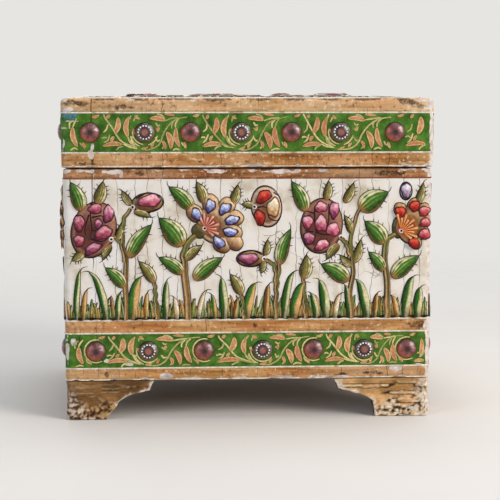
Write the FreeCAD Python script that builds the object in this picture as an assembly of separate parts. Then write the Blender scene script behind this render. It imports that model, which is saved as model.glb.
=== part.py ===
import FreeCAD, Part
import math
import os

V = FreeCAD.Vector
X_AXIS = V(1, 0, 0)
Y_AXIS = V(0, 1, 0)
Z_AXIS = V(0, 0, 1)
ORIGIN = V(0, 0, 0)

# Sizes in millimetres. X is the width, the front faces -Y, Z is up. The origin
# is on the floor, under the middle of the box.

# Case boards
case_w = 149.0
case_d = 109.0
case_h = 86.3
board_t = 8.0
lip_t = 4.0              # wood that the end rabbets leave on the front and back boards
corner_r = 2.5
bottom_t = 5.0
bottom_rise = 4.0        # underside of the bottom board above the case's lower edge
groove_depth = 3.0
groove_clear = 0.2

# Bracket feet
foot_h = 16.0
foot_t = 8.0
foot_front_l = 36.0
foot_side_l = 30.0
foot_toe_l = 19.5        # length that stands on the floor
foot_waist_l = 22.5      # length at the foot of the cove
foot_waist_h = 7.6
left_toe_l = 16.5        # the two front feet were sawn by eye and differ along the front
right_front_l = 39.5
right_toe_l = 22.5
right_waist_l = 23.6
right_waist_h = 6.6
foot_nose_h = 4.5
foot_nose_lean = 1.5
foot_cove_rise = 0.8

# Lid
lid_overhang = 0.5
seam_gap = 0.4
rail_h = 22.4
rail_t = 8.0
top_t = 5.4
top_edge_r = 1.2

# Painted bands, which place the bosses and the raised flowers
case_strip_low_h = 5.3
case_green_h = 14.4
case_strip_mid_h = 5.6
case_strip_top_h = 3.8
lid_strip_h = 6.1
top_strip_w = 5.4
top_green_w = 14.0

# Bosses: domes in a row on each green band
boss_r = 4.1
boss_h = 2.2
front_bosses = 7
side_bosses = 5
lid_row_margin = 13.9    # from a lid corner to the first boss, on average
case_row_margin = 11.1
lid_row_shift = -2.1     # the front rows were set out by eye
case_row_shift = 1.5
lid_row_wander = (0, 1.3, -0.8, -0.9, -1.0, -1.7, 0)
case_row_wander = (0, 0, 1.6, 4.2, 4.0, 3.5, 0)

# Raised flowers
leaf_proud = 1.0
stem_proud = 0.7
stem_w = 1.1
head_proud = 2.0
grass_proud = 0.6
turf_proud = 0.45
turf_h = 1.5
blade_lag = 0.3          # share of its lean that a blade has at half its height
panel_edge = 2.6         # bare border kept at the ends of a panel
grid_h = 100.0           # height of a panel on the grid that the plants are drawn on
front_grid_half_w = 126.0
side_grid_half_w = 91.0  # also for the top

# Linings
wall_lining_t = 1.2
wall_lining_drop = 3.0   # top edge of the wall linings below the rim
floor_lining_t = 3.0
lid_lining_t = 3.0
lining_gap = 0.3

# Hinges
open_angle = 105.0
bevel_ease = 0.3         # degrees taken off each bevel so that they stop just short
hinge_x = 38.0
hinge_l = 24.0
leaf_w = 5.2
leaf_t = 0.9
knuckle_r = 1.7
knuckle_gap = 0.15
barrel_clear = 0.3
recess_clear = 0.1
pin_r = 0.75
pin_clear = 0.05
screw_r = 0.7
screw_l = 7.0
screw_head_r = 1.2
screw_head_h = 0.6
screw_clear = 0.04
screw_spacing = 14.0
screw_inset = 3.5        # from the hinge axis

# Levels
case_low = foot_h
rim_z = case_low + case_h
lid_low = rim_z + seam_gap
top_low = lid_low + rail_h
top_z = top_low + top_t
floor_low = case_low + bottom_rise
floor_z = floor_low + bottom_t
panel_low = case_low + case_strip_low_h + case_green_h + case_strip_mid_h
panel_high = rim_z - case_strip_top_h
case_row_z = case_low + case_strip_low_h + case_green_h / 2
lid_row_z = (lid_low + lid_strip_h + top_low) / 2

# Plans
lid_w = case_w + 2 * lid_overhang
lid_d = case_d + 2 * lid_overhang
inner_w = case_w - 2 * board_t
inner_d = case_d - 2 * board_t
lid_inner_w = lid_w - 2 * rail_t
lid_inner_d = lid_d - 2 * rail_t
axis_y = case_d / 2 - knuckle_r
axis_z = rim_z + seam_gap / 2

# Turn about Z that carries something made for the front to each side
SIDE_TURN = {"front": 0, "right": 90, "back": 180, "left": -90}

# Plants of the raised decoration, in steps of the panel's grid, from the root
# at the foot of the panel. Heads are x, z, width, height and tilt in degrees,
# leaves are base, tip and width, and stems are lists of points.
PLANTS = {
    "rose_spray": {
        "heads": [(-22, 64, 32, 42, -20), (16, 83, 24, 15, 5)],
        "leaves": [(-30, 77, -38, 98, 10), (-19.5, 82, -15, 98.5, 8), (-29, 49, -38, 42, 6),
                   (-10, 54, -16, 42, 5.5), (2, 44, 19, 68, 10), (0, 23, -14.5, 37.5, 9), (5, 81, -2, 92, 5),
                   (20.5, 26, 9, 42, 7.5), (-6, 56, -2, 70, 5), (6, 77, 19, 72.5, 5)],
        "stems": [[(0, 0), (0, 44), (-5, 57), (-9, 60)], [(0, 41), (-2, 56), (-1, 70), (4, 79)],
                  [(22, 0), (21, 16), (20.5, 27)]],
    },
    "daisy_spray": {
        "heads": [(18, 69, 37, 40, 15)],
        "leaves": [(3.5, 78, -13.5, 94.5, 10), (-3.5, 52, -20.5, 72.5, 14), (-3, 32.5, -21, 44.5, 9),
                   (4, 28, 25, 44, 10.5), (12, 82, 6, 98, 7.5), (31, 81, 35.5, 96, 6.5),
                   (-2, 42, 10.5, 53, 6.5)],
        "stems": [[(0, 0), (-2, 34), (-3, 44), (-2, 50), (4, 59), (12, 62)]],
    },
    "bud_spray": {
        "heads": [(-7, 80, 23, 31, 10), (-18, 43, 22, 13, 0)],
        "leaves": [(2, 38, 10.5, 64.5, 9), (-8, 45, -6, 57, 5), (-9, 42, -11, 32, 5),
                   (-24.5, 17, -33, 32.5, 7.5), (-15, 80, -25, 81.5, 5)],
        "stems": [[(0, 0), (0, 18), (1, 28), (3, 41)], [(0, 22), (-1, 37), (-9, 43)],
                  [(-23, 0), (-23.5, 9), (-24.5, 18)]],
    },
    "rose_branch": {
        "heads": [(-22, 66, 31, 41, -8)],
        "leaves": [(-33, 76, -43.5, 98, 10), (-19, 84, -17, 98.5, 6), (-34.5, 28, -32.5, 46, 9.5),
                   (-9.5, 53.5, -18.5, 41.5, 6.5), (-2, 26.5, -22.5, 39, 11.5), (5, 77, 26, 90, 14),
                   (-6, 82, 1, 97, 6), (1, 37, -9, 45.5, 5.5), (1, 39, 6.5, 57, 6), (0, 60, -6, 74, 5.5)],
        "stems": [[(0, 0), (-1, 19), (1, 37), (-1, 50), (1, 67), (6, 79)], [(-1, 44), (-4, 53), (-9, 58)],
                  [(-33, 0), (-34, 14), (-34.5, 30)]],
    },
    "small_daisy": {
        "heads": [(15, 67, 24, 36, -10), (12.5, 90.5, 10, 14, 0)],
        "leaves": [(-2, 53, -17, 69.5, 12), (-2, 33.5, -14, 47.5, 8.5), (3, 28.5, 23, 44.5, 11),
                   (20, 80, 25, 97, 5.5)],
        "stems": [[(0, 0), (0, 17), (-2, 50), (2, 58), (10, 62)]],
    },
}

# Blades of grass along the foot of a panel, in steps of its grid: root, and
# the tip's place and height, then the width. A shorter panel has the middle ones.
GRASS = [(-122, -118.5, 36, 5), (-117, -114, 22, 3.5), (-101, -113, 35, 5), (-93, -90.5, 20, 4),
         (-83, -76, 31, 6.5), (-73, -71.5, 20, 3.5), (-59, -58, 28, 4.5), (-51, -53, 16, 4),
         (-35.5, -29.5, 21, 3.5), (-24, -26.5, 18, 3.5), (-17.5, -19.5, 30, 5.5), (-10, -7, 15, 4),
         (-1.5, 5.5, 26, 6), (12, 14.5, 25, 4.5), (25, 32.5, 34, 5), (32, 40, 26, 6.5),
         (48, 44, 18.5, 4.5), (55, 50, 28, 6), (61.5, 66, 18, 4), (72, 68.5, 24, 4.5),
         (84, 76.5, 28, 6), (90, 92, 18, 4), (106, 102, 16, 4), (111.5, 118, 30, 6), (120.5, 123, 22, 6)]

# Each panel's plants: name, root on the panel's grid, and whether it is mirrored
FRONT_PLANTS = [("rose_spray", -87, False), ("daisy_spray", -43, False), ("bud_spray", 19.5, False),
                ("rose_branch", 73.5, False), ("small_daisy", 99, False)]
BACK_PLANTS = [(name, -root, not mirrored) for name, root, mirrored in FRONT_PLANTS]
LEFT_PLANTS = [("rose_spray", -50, False), ("daisy_spray", 4, False), ("small_daisy", 62, False)]
RIGHT_PLANTS = [("rose_branch", -42, False), ("bud_spray", -2, True), ("rose_spray", 50, True)]
TOP_PLANTS = [(name, -root, not mirrored) for name, root, mirrored in LEFT_PLANTS]

nodes = {}


def span(x0, x1, y0, y1, z0, z1):
    """Box between limits."""
    return Part.makeBox(x1 - x0, y1 - y0, z1 - z0, V(x0, y0, z0))


def block(w, d, z0, z1, r):
    """Box centred on the Z axis, with its four upright edges rounded."""
    solid = span(-w / 2, w / 2, -d / 2, d / 2, z0, z1)
    upright = [e for e in solid.Edges if abs(e.tangentAt(e.FirstParameter).z) > 0.5]
    return solid.makeFillet(r, upright)


def turned(shape, angle, axis=Z_AXIS, point=ORIGIN):
    copy = shape.copy()
    copy.rotate(point, axis, angle)
    return copy


def moved(shape, x, y, z):
    copy = shape.copy()
    copy.translate(V(x, y, z))
    return copy


def mirrored_x(shape):
    return shape.mirror(ORIGIN, X_AXIS)


# Walls of the case and of the lid: the front and back ones have end rabbets
# that take the ends of the left and right ones.

def long_wall(w, d, z0, z1, t):
    """Front wall, full width."""
    wall = span(-w / 2, w / 2, -d / 2, -d / 2 + t, z0, z1)
    wall = wall.common(block(w, d, z0, z1, corner_r))
    for side in (-1, 1):
        ends = sorted((side * w / 2, side * (w / 2 - t)))
        wall = wall.cut(span(ends[0], ends[1], -d / 2 + lip_t, -d / 2 + t, z0, z1))
    return wall


def short_wall(w, d, z0, z1, t):
    """Left wall, between the rabbets."""
    return span(-w / 2, -w / 2 + t, -d / 2 + lip_t, d / 2 - lip_t, z0, z1)


groove = span(-inner_w / 2 - groove_depth, inner_w / 2 + groove_depth,
              -inner_d / 2 - groove_depth, inner_d / 2 + groove_depth, floor_low, floor_z)
front_board = long_wall(case_w, case_d, case_low, rim_z, board_t).cut(groove)
left_board = short_wall(case_w, case_d, case_low, rim_z, board_t).cut(groove)
front_rail = long_wall(lid_w, lid_d, lid_low, top_low, rail_t)
left_rail = short_wall(lid_w, lid_d, lid_low, top_low, rail_t)
back_board = turned(front_board, 180)
back_rail = turned(front_rail, 180)

nodes["front_board"] = front_board
nodes["left_board"] = left_board
nodes["right_board"] = turned(left_board, 180)
nodes["lid_front_rail"] = front_rail
nodes["lid_left_rail"] = left_rail
nodes["lid_right_rail"] = turned(left_rail, 180)

bottom_half_w = inner_w / 2 + groove_depth - groove_clear
bottom_half_d = inner_d / 2 + groove_depth - groove_clear
nodes["bottom_board"] = span(-bottom_half_w, bottom_half_w, -bottom_half_d, bottom_half_d, floor_low, floor_z)

top_board = block(lid_w, lid_d, top_low, top_z, corner_r)
top_rim = [e for e in top_board.Edges if e.BoundBox.ZMin > (top_low + top_z) / 2]
nodes["lid_top_board"] = top_board.makeFillet(top_edge_r, top_rim)


# Feet: two wings that meet at the corner, each with a cove from toe to nose

def foot_wing(length, toe_l=foot_toe_l, waist_l=foot_waist_l, waist_h=foot_waist_h):
    """Wing along +X from the corner at the origin, its outer face on Y = 0."""
    toe = V(toe_l, 0, 0)
    waist = V(waist_l, 0, waist_h)
    nose_low = V(length - foot_nose_lean, 0, foot_h - foot_nose_h)
    nose_top = V(length, 0, foot_h)
    middle = (waist + nose_low) * 0.5 + Z_AXIS * foot_cove_rise
    outline = [Part.makePolygon([V(0, 0, foot_h), ORIGIN, toe, waist]),
               Part.Arc(waist, middle, nose_low).toShape(),
               Part.makePolygon([nose_low, nose_top, V(0, 0, foot_h)])]
    edges = [edge for shape in outline for edge in shape.Edges]
    face = Part.Face(Part.Wire(Part.__sortEdges__(edges)))
    return face.extrude(Y_AXIS * foot_t)


side_wing = foot_wing(foot_side_l).mirror(ORIGIN, V(1, -1, 0))


def foot(front_wing):
    """Bracket foot of the front left corner: a front wing joined to the side wing."""
    bracket = moved(front_wing.fuse(side_wing).removeSplitter(), -case_w / 2, -case_d / 2, 0)
    return bracket.common(block(case_w, case_d, 0, foot_h, corner_r))


even_foot = foot(foot_wing(foot_front_l))
nodes["foot_front_left"] = foot(foot_wing(foot_front_l, left_toe_l))
nodes["foot_front_right"] = mirrored_x(foot(foot_wing(right_front_l, right_toe_l, right_waist_l, right_waist_h)))
nodes["foot_back_right"] = turned(even_foot, 180)
nodes["foot_back_left"] = turned(mirrored_x(even_foot), 180)


# Bosses

def dome(r, h):
    """Round cap on the XZ plane, standing out along -Y."""
    ball_r = (r * r + h * h) / (2 * h)
    ball = Part.makeSphere(ball_r, V(0, ball_r - h, 0))
    return ball.common(span(-r, r, -h, 0, -r, r))


def boss_row(count, length, margin, shift, wander):
    pitch = (length - 2 * margin) / (count - 1)
    return [margin - length / 2 + i * pitch + shift + wander[i] for i in range(count)]


def bosses(w, d, z, margin, shift, wander):
    """Plain and dot-ringed bosses of one band, which alternate along each side."""
    plain = []
    dotted = []
    for side, turn in SIDE_TURN.items():
        long_side = side in ("front", "back")
        length = w if long_side else d
        reach = d / 2 if long_side else w / 2
        count = front_bosses if long_side else side_bosses
        by_eye = side == "front"
        row = boss_row(count, length, margin, shift if by_eye else 0, wander if by_eye else (0,) * count)
        for i, x in enumerate(row):
            boss = turned(moved(dome(boss_r, boss_h), x, -reach, z), turn)
            (dotted if i % 2 else plain).append(boss)
    return Part.makeCompound(plain), Part.makeCompound(dotted)


nodes["case_plain_bosses"], nodes["case_dotted_bosses"] = bosses(
    case_w, case_d, case_row_z, case_row_margin, case_row_shift, case_row_wander)
nodes["lid_plain_bosses"], nodes["lid_dotted_bosses"] = bosses(
    lid_w, lid_d, lid_row_z, lid_row_margin, lid_row_shift, lid_row_wander)


# Raised flowers: each panel's heads, leaves, stems and grass are one layer of gesso

def petal_head(x, z, w, h, tilt):
    """Oval dome, its height along the tilt from upright."""
    stretch = FreeCAD.Matrix()
    stretch.scale(w / h, 1, 1)
    oval = dome(h / 2, head_proud).transformGeometry(stretch)
    return moved(turned(oval, tilt, Y_AXIS), x, 0, z)


def leaf(x0, z0, x1, z1, w):
    """Pointed oval plate from its base to its tip."""
    base = V(x0, 0, z0)
    tip = V(x1, 0, z1)
    across = (tip - base).cross(Y_AXIS)
    across.normalize()
    middle = (base + tip) * 0.5
    sides = [Part.Arc(base, middle + across * (w / 2), tip).toShape(),
             Part.Arc(tip, middle - across * (w / 2), base).toShape()]
    return Part.Face(Part.Wire(sides)).extrude(-Y_AXIS * leaf_proud)


def stem(points):
    """Plate of even width along a line of points."""
    line = [V(x, 0, z) for x, z in points]
    left = []
    right = []
    for i, point in enumerate(line):
        run = line[min(i + 1, len(line) - 1)] - line[max(i - 1, 0)]
        across = run.cross(Y_AXIS)
        across.normalize()
        left.append(point + across * (stem_w / 2))
        right.append(point - across * (stem_w / 2))
    outline = left + right[::-1] + left[:1]
    return Part.Face(Part.makePolygon(outline)).extrude(-Y_AXIS * stem_proud)


def blade(x0, x1, z0, z1, w):
    """Plate that tapers from its root to a leaning tip."""
    half_x = x0 + (x1 - x0) * blade_lag
    half_z = (z0 + z1) / 2
    outline = [(x0 - w / 2, z0), (half_x - w / 2, half_z), (x1, z1), (half_x + w / 2, half_z),
               (x0 + w / 2, z0), (x0 - w / 2, z0)]
    face = Part.Face(Part.makePolygon([V(x, 0, z) for x, z in outline]))
    return face.extrude(-Y_AXIS * grass_proud)


def relief(plants, half_w, grid_half_w, low, high):
    """Plants and grass of one panel on the XZ plane, standing out along -Y."""
    x_step = half_w / grid_half_w
    z_step = (high - low) / grid_h
    leaf_step = math.sqrt(x_step * z_step)
    shapes = [span(-half_w, half_w, -turf_proud, 0, low, low + turf_h)]
    for root, tip, tall, w in GRASS:
        if max(abs(root) + w / 2, abs(tip)) < grid_half_w:
            shapes.append(blade(root * x_step, tip * x_step, low, low + tall * z_step, w * x_step))
    for name, root, mirrored in plants:
        plant = PLANTS[name]
        flip = -1 if mirrored else 1

        def place(x, z):
            return (root + flip * x) * x_step, low + z * z_step

        for x, z, w, h, tilt in plant["heads"]:
            shapes.append(petal_head(*place(x, z), w * x_step, h * z_step, -flip * tilt))
        for x0, z0, x1, z1, w in plant["leaves"]:
            shapes.append(leaf(*place(x0, z0), *place(x1, z1), w * leaf_step))
        for points in plant["stems"]:
            shapes.append(stem([place(x, z) for x, z in points]))
    return shapes[0].multiFuse(shapes[1:]).removeSplitter()


panels = {"front": (FRONT_PLANTS, case_w / 2, front_grid_half_w, case_d / 2),
          "back": (BACK_PLANTS, case_w / 2, front_grid_half_w, case_d / 2),
          "left": (LEFT_PLANTS, case_d / 2, side_grid_half_w, case_w / 2),
          "right": (RIGHT_PLANTS, case_d / 2, side_grid_half_w, case_w / 2)}
for side, (plants, half_w, grid_half_w, reach) in panels.items():
    layer = relief(plants, half_w - panel_edge, grid_half_w, panel_low, panel_high)
    nodes[side + "_relief"] = turned(moved(layer, 0, -reach, 0), SIDE_TURN[side])

top_border = 2 * top_strip_w + top_green_w
top_half_w = lid_w / 2 - top_border
top_half_d = lid_d / 2 - top_border
top_layer = relief(TOP_PLANTS, top_half_w, side_grid_half_w, -top_half_d, top_half_d)
nodes["lid_relief"] = moved(turned(top_layer, -90, X_AXIS), 0, 0, top_z)


# Linings of velvet on card

half_w = inner_w / 2 - lining_gap
half_d = inner_d / 2 - lining_gap
lining_low = floor_z + lining_gap
lining_high = rim_z - wall_lining_drop
front_lining = span(-half_w, half_w, -half_d, -half_d + wall_lining_t, lining_low, lining_high)
short_half_d = half_d - wall_lining_t - lining_gap
left_lining = span(-half_w, -half_w + wall_lining_t, -short_half_d, short_half_d, lining_low, lining_high)
nodes["front_lining"] = front_lining
nodes["back_lining"] = turned(front_lining, 180)
nodes["left_lining"] = left_lining
nodes["right_lining"] = turned(left_lining, 180)
floor_half_w = half_w - wall_lining_t - lining_gap
nodes["floor_lining"] = span(-floor_half_w, floor_half_w, -short_half_d, short_half_d,
                             lining_low, lining_low + floor_lining_t)
lid_half_w = lid_inner_w / 2 - lining_gap
lid_half_d = lid_inner_d / 2 - lining_gap
nodes["lid_lining"] = span(-lid_half_w, lid_half_w, -lid_half_d, lid_half_d,
                           top_low - lining_gap - lid_lining_t, top_low - lining_gap)


# Hinges: made at X = 0 on the hinge axis, and cut into both back edges

def barrel(r, x0, x1):
    return Part.makeCylinder(r, x1 - x0, V(x0, axis_y, axis_z), X_AXIS)


knuckle_l = hinge_l / 3
centre_half = knuckle_l / 2 - knuckle_gap / 2
outer_start = knuckle_l / 2 + knuckle_gap / 2
bore = barrel(pin_r + pin_clear, -hinge_l, hinge_l)


def plate(z0, z1, clear=0):
    return span(-hinge_l / 2 - clear, hinge_l / 2 + clear, axis_y - leaf_w - clear, axis_y, z0, z1)


def screw(z, direction, clear=0):
    """Countersunk screw whose head lies flush at level z."""
    shank = Part.makeCylinder(screw_r + clear, screw_l + clear, V(0, 0, 0), Z_AXIS)
    head = Part.makeCone(screw_head_r + clear, screw_r + clear, screw_head_h, V(0, 0, 0), Z_AXIS)
    body = shank.fuse(head).removeSplitter()
    body = turned(body, 0 if direction > 0 else 180, X_AXIS)
    return [moved(body, side * screw_spacing / 2, axis_y - screw_inset, z) for side in (-1, 1)]


case_plate = plate(rim_z - leaf_t, rim_z)
lid_plate = plate(lid_low, lid_low + leaf_t)
centre_room = barrel(knuckle_r + barrel_clear, -outer_start, outer_start)
outer_room = [barrel(knuckle_r + barrel_clear, -hinge_l, -centre_half),
              barrel(knuckle_r + barrel_clear, centre_half, hinge_l)]
case_leaf = case_plate.cut(centre_room)
for x0, x1 in ((-hinge_l / 2, -outer_start), (outer_start, hinge_l / 2)):
    case_leaf = case_leaf.fuse(barrel(knuckle_r, x0, x1))
lid_leaf = lid_plate.cut(outer_room[0]).cut(outer_room[1]).fuse(barrel(knuckle_r, -centre_half, centre_half))
case_leaf = case_leaf.removeSplitter().cut(bore).cut(Part.makeCompound(screw(rim_z, -1, screw_clear)))
lid_leaf = lid_leaf.removeSplitter().cut(bore).cut(Part.makeCompound(screw(lid_low, 1, screw_clear)))
pin = barrel(pin_r, -hinge_l / 2, hinge_l / 2)

# The bevels meet as the lid's stop when it is fully open
bevel = math.radians(open_angle / 2 + bevel_ease)
bevel_reach = board_t
bevel_drop = bevel_reach * math.tan(bevel)
for sign, name, wall in ((-1, "back_board", back_board), (1, "lid_back_rail", back_rail)):
    profile = [V(-lid_w, axis_y, axis_z), V(-lid_w, axis_y + bevel_reach, axis_z),
               V(-lid_w, axis_y + bevel_reach, axis_z + sign * bevel_drop), V(-lid_w, axis_y, axis_z)]
    wall = wall.cut(Part.Face(Part.makePolygon(profile)).extrude(X_AXIS * (2 * lid_w)))
    for side in (-1, 1):
        end = hinge_l / 2 + barrel_clear
        room = [barrel(knuckle_r + barrel_clear, -end, end)]
        if sign < 0:
            room.append(plate(rim_z - leaf_t, rim_z, recess_clear))
            room.extend(screw(rim_z, sign, screw_clear))
        else:
            room.append(plate(lid_low, lid_low + leaf_t, recess_clear))
            room.extend(screw(lid_low, sign, screw_clear))
        for tool in room:
            wall = wall.cut(moved(tool, side * hinge_x, 0, 0))
    nodes[name] = wall

for side, word in ((-1, "left"), (1, "right")):
    nodes["hinge_" + word + "_case_leaf"] = moved(case_leaf, side * hinge_x, 0, 0)
    nodes["hinge_" + word + "_lid_leaf"] = moved(lid_leaf, side * hinge_x, 0, 0)
    nodes["hinge_" + word + "_pin"] = moved(pin, side * hinge_x, 0, 0)
for name, z, direction in (("case_hinge_screws", rim_z, -1), ("lid_hinge_screws", lid_low, 1)):
    nodes[name] = Part.makeCompound([moved(one, side * hinge_x, 0, 0)
                                     for side in (-1, 1) for one in screw(z, direction)])

os.makedirs("parts", exist_ok=True)
for name, shape in nodes.items():
    shape.exportStep("parts/" + name + ".step")
    print(name, "solids", len(shape.Solids), "valid", shape.isValid(), "volume", round(shape.Volume, 1))
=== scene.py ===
import itertools
import math
import random

import bpy
import numpy as np
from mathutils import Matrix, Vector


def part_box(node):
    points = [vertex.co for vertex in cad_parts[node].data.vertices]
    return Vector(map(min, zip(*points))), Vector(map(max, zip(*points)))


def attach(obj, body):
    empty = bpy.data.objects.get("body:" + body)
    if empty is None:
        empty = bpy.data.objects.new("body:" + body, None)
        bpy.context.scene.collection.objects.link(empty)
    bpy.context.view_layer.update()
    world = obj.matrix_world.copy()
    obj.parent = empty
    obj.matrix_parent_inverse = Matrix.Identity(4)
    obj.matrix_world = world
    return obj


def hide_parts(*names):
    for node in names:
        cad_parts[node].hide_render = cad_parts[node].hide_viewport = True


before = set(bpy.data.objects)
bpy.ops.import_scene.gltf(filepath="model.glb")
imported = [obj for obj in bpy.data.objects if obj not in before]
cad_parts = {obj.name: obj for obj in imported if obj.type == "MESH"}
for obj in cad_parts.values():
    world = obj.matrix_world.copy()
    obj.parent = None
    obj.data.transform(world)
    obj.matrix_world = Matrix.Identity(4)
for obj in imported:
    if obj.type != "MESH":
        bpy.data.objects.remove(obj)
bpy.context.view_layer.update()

# Studio
# A pale matt table, soft lamps from the right, the left and above, and the camera:
# close in front of the box and a little to its left, just above the lid and looking down.
MM = 0.001


def linear(hex_colour):
    """Linear red, green, blue and alpha of an sRGB hex colour."""
    channels = [int(hex_colour[i:i + 2], 16) / 255 for i in (1, 3, 5)]
    return [c / 12.92 if c <= 0.04045 else ((c + 0.055) / 1.055) ** 2.4 for c in channels] + [1.0]


def add(tree, kind, settings, inputs):
    """Add a shader node with its settings, and give its inputs values or links."""
    made = tree.nodes.new("ShaderNode" + kind)
    for name, value in settings.items():
        setattr(made, name, value)
    for name, value in inputs.items():
        if isinstance(value, bpy.types.NodeSocket):
            tree.links.new(value, made.inputs[name])
        else:
            made.inputs[name].default_value = value
    return made


def new_material(name):
    """A node material with nothing in it yet, its tree, and the place of each point on the piece."""
    material = bpy.data.materials.new(name)
    material.use_nodes = True
    material.node_tree.nodes.clear()
    where = add(material.node_tree, "TexCoord", {}, {}).outputs["Object"]
    return material, material.node_tree, where


def noise(tree, where, size, detail, **more):
    """A cloudy pattern from 0 to 1, in marks of a size in mm."""
    inputs = {"Vector": where, "Scale": 1 / (size * MM), "Detail": detail, **more}
    return add(tree, "TexNoise", {}, inputs).outputs["Fac"]


def ranged(tree, value, low, high, first=0.0, last=1.0, soft=False):
    """A value that runs from low to high, turned into one from first to last and held there."""
    return add(tree, "MapRange", {"interpolation_type": "SMOOTHSTEP" if soft else "LINEAR"}, {
        "Value": value, "From Min": low, "From Max": high, "To Min": first, "To Max": last}).outputs[0]


def reckon(tree, operation, *values):
    """What an operation makes of values or links."""
    return add(tree, "Math", {"operation": operation}, dict(enumerate(values))).outputs[0]


def mixed(tree, share, colour, other, way="MIX"):
    """A colour mixed with another by a share."""
    return add(tree, "Mix", {"data_type": "RGBA", "blend_type": way}, {
        0: share, 6: colour, 7: other}).outputs[2]


def ramp(tree, value, stops):
    """A colour picked by a value from stops, as (value, colour)."""
    made = add(tree, "ValToRGB", {}, {"Fac": value})
    row = made.color_ramp.elements
    for number, (place, colour) in enumerate(stops):
        stop = row[number] if number < 2 else row.new(place)
        stop.position = place
        stop.color = linear(colour)
    return made.outputs["Color"]


def coat(tree, colour, height, depth, strength, settings):
    """Close a material: its colour, embossed by a height to a depth in mm, and how it takes light."""
    bump = add(tree, "Bump", {}, {"Height": height, "Distance": depth * MM, "Strength": strength})
    skin = add(tree, "BsdfPrincipled", {}, {
        "Base Color": colour, "Normal": bump.outputs[0], **settings})
    add(tree, "OutputMaterial", {}, {"Surface": skin.outputs["BSDF"]})


# Matt paper sweep: a pale neutral table with a faint mottle.
PAPER_CLOUD = 60.0
matt_paper, tree, where = new_material("matt_paper")
mottle = noise(tree, where, PAPER_CLOUD, 3.0)
tone = ramp(tree, mottle, ((0.0, "#dcdbd8"), (1.0, "#e2e1de")))
paper = add(tree, "BsdfPrincipled", {}, {"Base Color": tone, "Roughness": 0.9})
# The sheet fades into the backdrop away from the box, so no edge of it shows
FADE_FROM, FADE_TO = 0.16, 0.6
distance = add(tree, "VectorMath", {"operation": "LENGTH"}, {0: where})
fade = ranged(tree, distance.outputs["Value"], FADE_FROM, FADE_TO, soft=True)
clear = add(tree, "BsdfTransparent", {}, {})
sheet = add(tree, "MixShader", {}, {0: fade, 1: paper.outputs["BSDF"], 2: clear.outputs["BSDF"]})
add(tree, "OutputMaterial", {}, {"Surface": sheet.outputs[0]})

FLOOR_HALF = 0.7
floor_mesh = bpy.data.meshes.new("table")
floor_mesh.from_pydata(
    [(x * FLOOR_HALF, y * FLOOR_HALF, 0) for x, y in ((-1, -1), (1, -1), (1, 1), (-1, 1))],
    [], [(0, 1, 2, 3)])
floor_mesh.materials.append(matt_paper)
table = bpy.data.objects.new("table", floor_mesh)
bpy.context.scene.collection.objects.link(table)

# Each lamp: its place and its width in metres, its power in watts and its colour
LAMPS = {
    "key_right": ((0.80, -0.60, 0.50), 0.6, 9.6, "#fff4ec"),
    "fill_left": ((-0.8, -0.7, 0.35), 0.7, 3.4, "#f3f5ff"),
    "top_soft": ((0.1, 0.1, 1.0), 0.8, 4.5, "#ffffff"),
    "back_soft": ((-0.2, 1.0, 0.6), 0.9, 2.2, "#ffffff"),
}
LAMP_AIM = np.array((0.0, 0.0, 0.07))
for name, (place, side, watts, colour) in LAMPS.items():
    lamp = bpy.data.lights.new(name, "AREA")
    lamp.shape = "DISK"
    lamp.size = side
    lamp.energy = watts
    lamp.color = linear(colour)[:3]
    holder = bpy.data.objects.new(name, lamp)
    holder.location = place
    aim = Vector(LAMP_AIM - np.array(place))
    holder.rotation_euler = aim.to_track_quat("-Z", "Y").to_euler()
    bpy.context.scene.collection.objects.link(holder)

SKY_STRENGTH = 0.3
world = bpy.data.worlds.new("studio")
bpy.context.scene.world = world
world.use_nodes = True
world.node_tree.nodes.clear()
tree = world.node_tree
rays = add(tree, "LightPath", {}, {})
through = reckon(tree, "MAXIMUM", rays.outputs["Is Glossy Ray"], rays.outputs["Is Transmission Ray"])
seen = reckon(tree, "MAXIMUM", rays.outputs["Is Camera Ray"], through)
room = add(tree, "Background", {}, {"Color": linear("#f4f5fa"), "Strength": SKY_STRENGTH})
backdrop = add(tree, "Background", {}, {"Color": linear("#e6e5e2"), "Strength": 1.0})
sky = add(tree, "MixShader", {}, {0: seen, 1: room.outputs[0], 2: backdrop.outputs[0]})
add(tree, "OutputWorld", {}, {"Surface": sky.outputs[0]})
bpy.context.scene.view_settings.view_transform = "Standard"

CAMERA_PLACE = (-0.0310, -0.6240, 0.1349)
CAMERA_PITCH, CAMERA_YAW = math.radians(90 - 6.55), math.radians(-3.17)
SENSOR_WIDTH, FOCAL_LENGTH = 36.0, 102.2
camera = bpy.data.cameras.new("camera")
camera.sensor_width = SENSOR_WIDTH
camera.lens = FOCAL_LENGTH
camera_holder = bpy.data.objects.new("camera", camera)
camera_holder.location = CAMERA_PLACE
camera_holder.rotation_euler = (CAMERA_PITCH, 0, CAMERA_YAW)
bpy.context.scene.collection.objects.link(camera_holder)
bpy.context.scene.camera = camera_holder

# Case boards
# The four walls of the case: thin softwood boards, rabbeted and glued at the corners, coated
# with gesso over the joints and painted in bands. Handling has rubbed and chipped the arrises.
CASE_HALF_W, CASE_HALF_D = 74.5, 54.5
CASE_LOW, CASE_RIM = 16.0, 102.3
CASE_GREEN_LOW, CASE_GREEN_HIGH = 21.3, 35.7
PANEL_LOW, PANEL_HIGH = 41.3, 98.5
# The boards' thickness, the lip left beside a corner rabbet, and the cell of their fine mesh
BOARD, LIP, VOXEL = 8.0, 4.0, 0.7
# A painted block: half width, half depth, lowest and highest level
CASE_BLOCK = (CASE_HALF_W, CASE_HALF_D, CASE_LOW, CASE_RIM)
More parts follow.
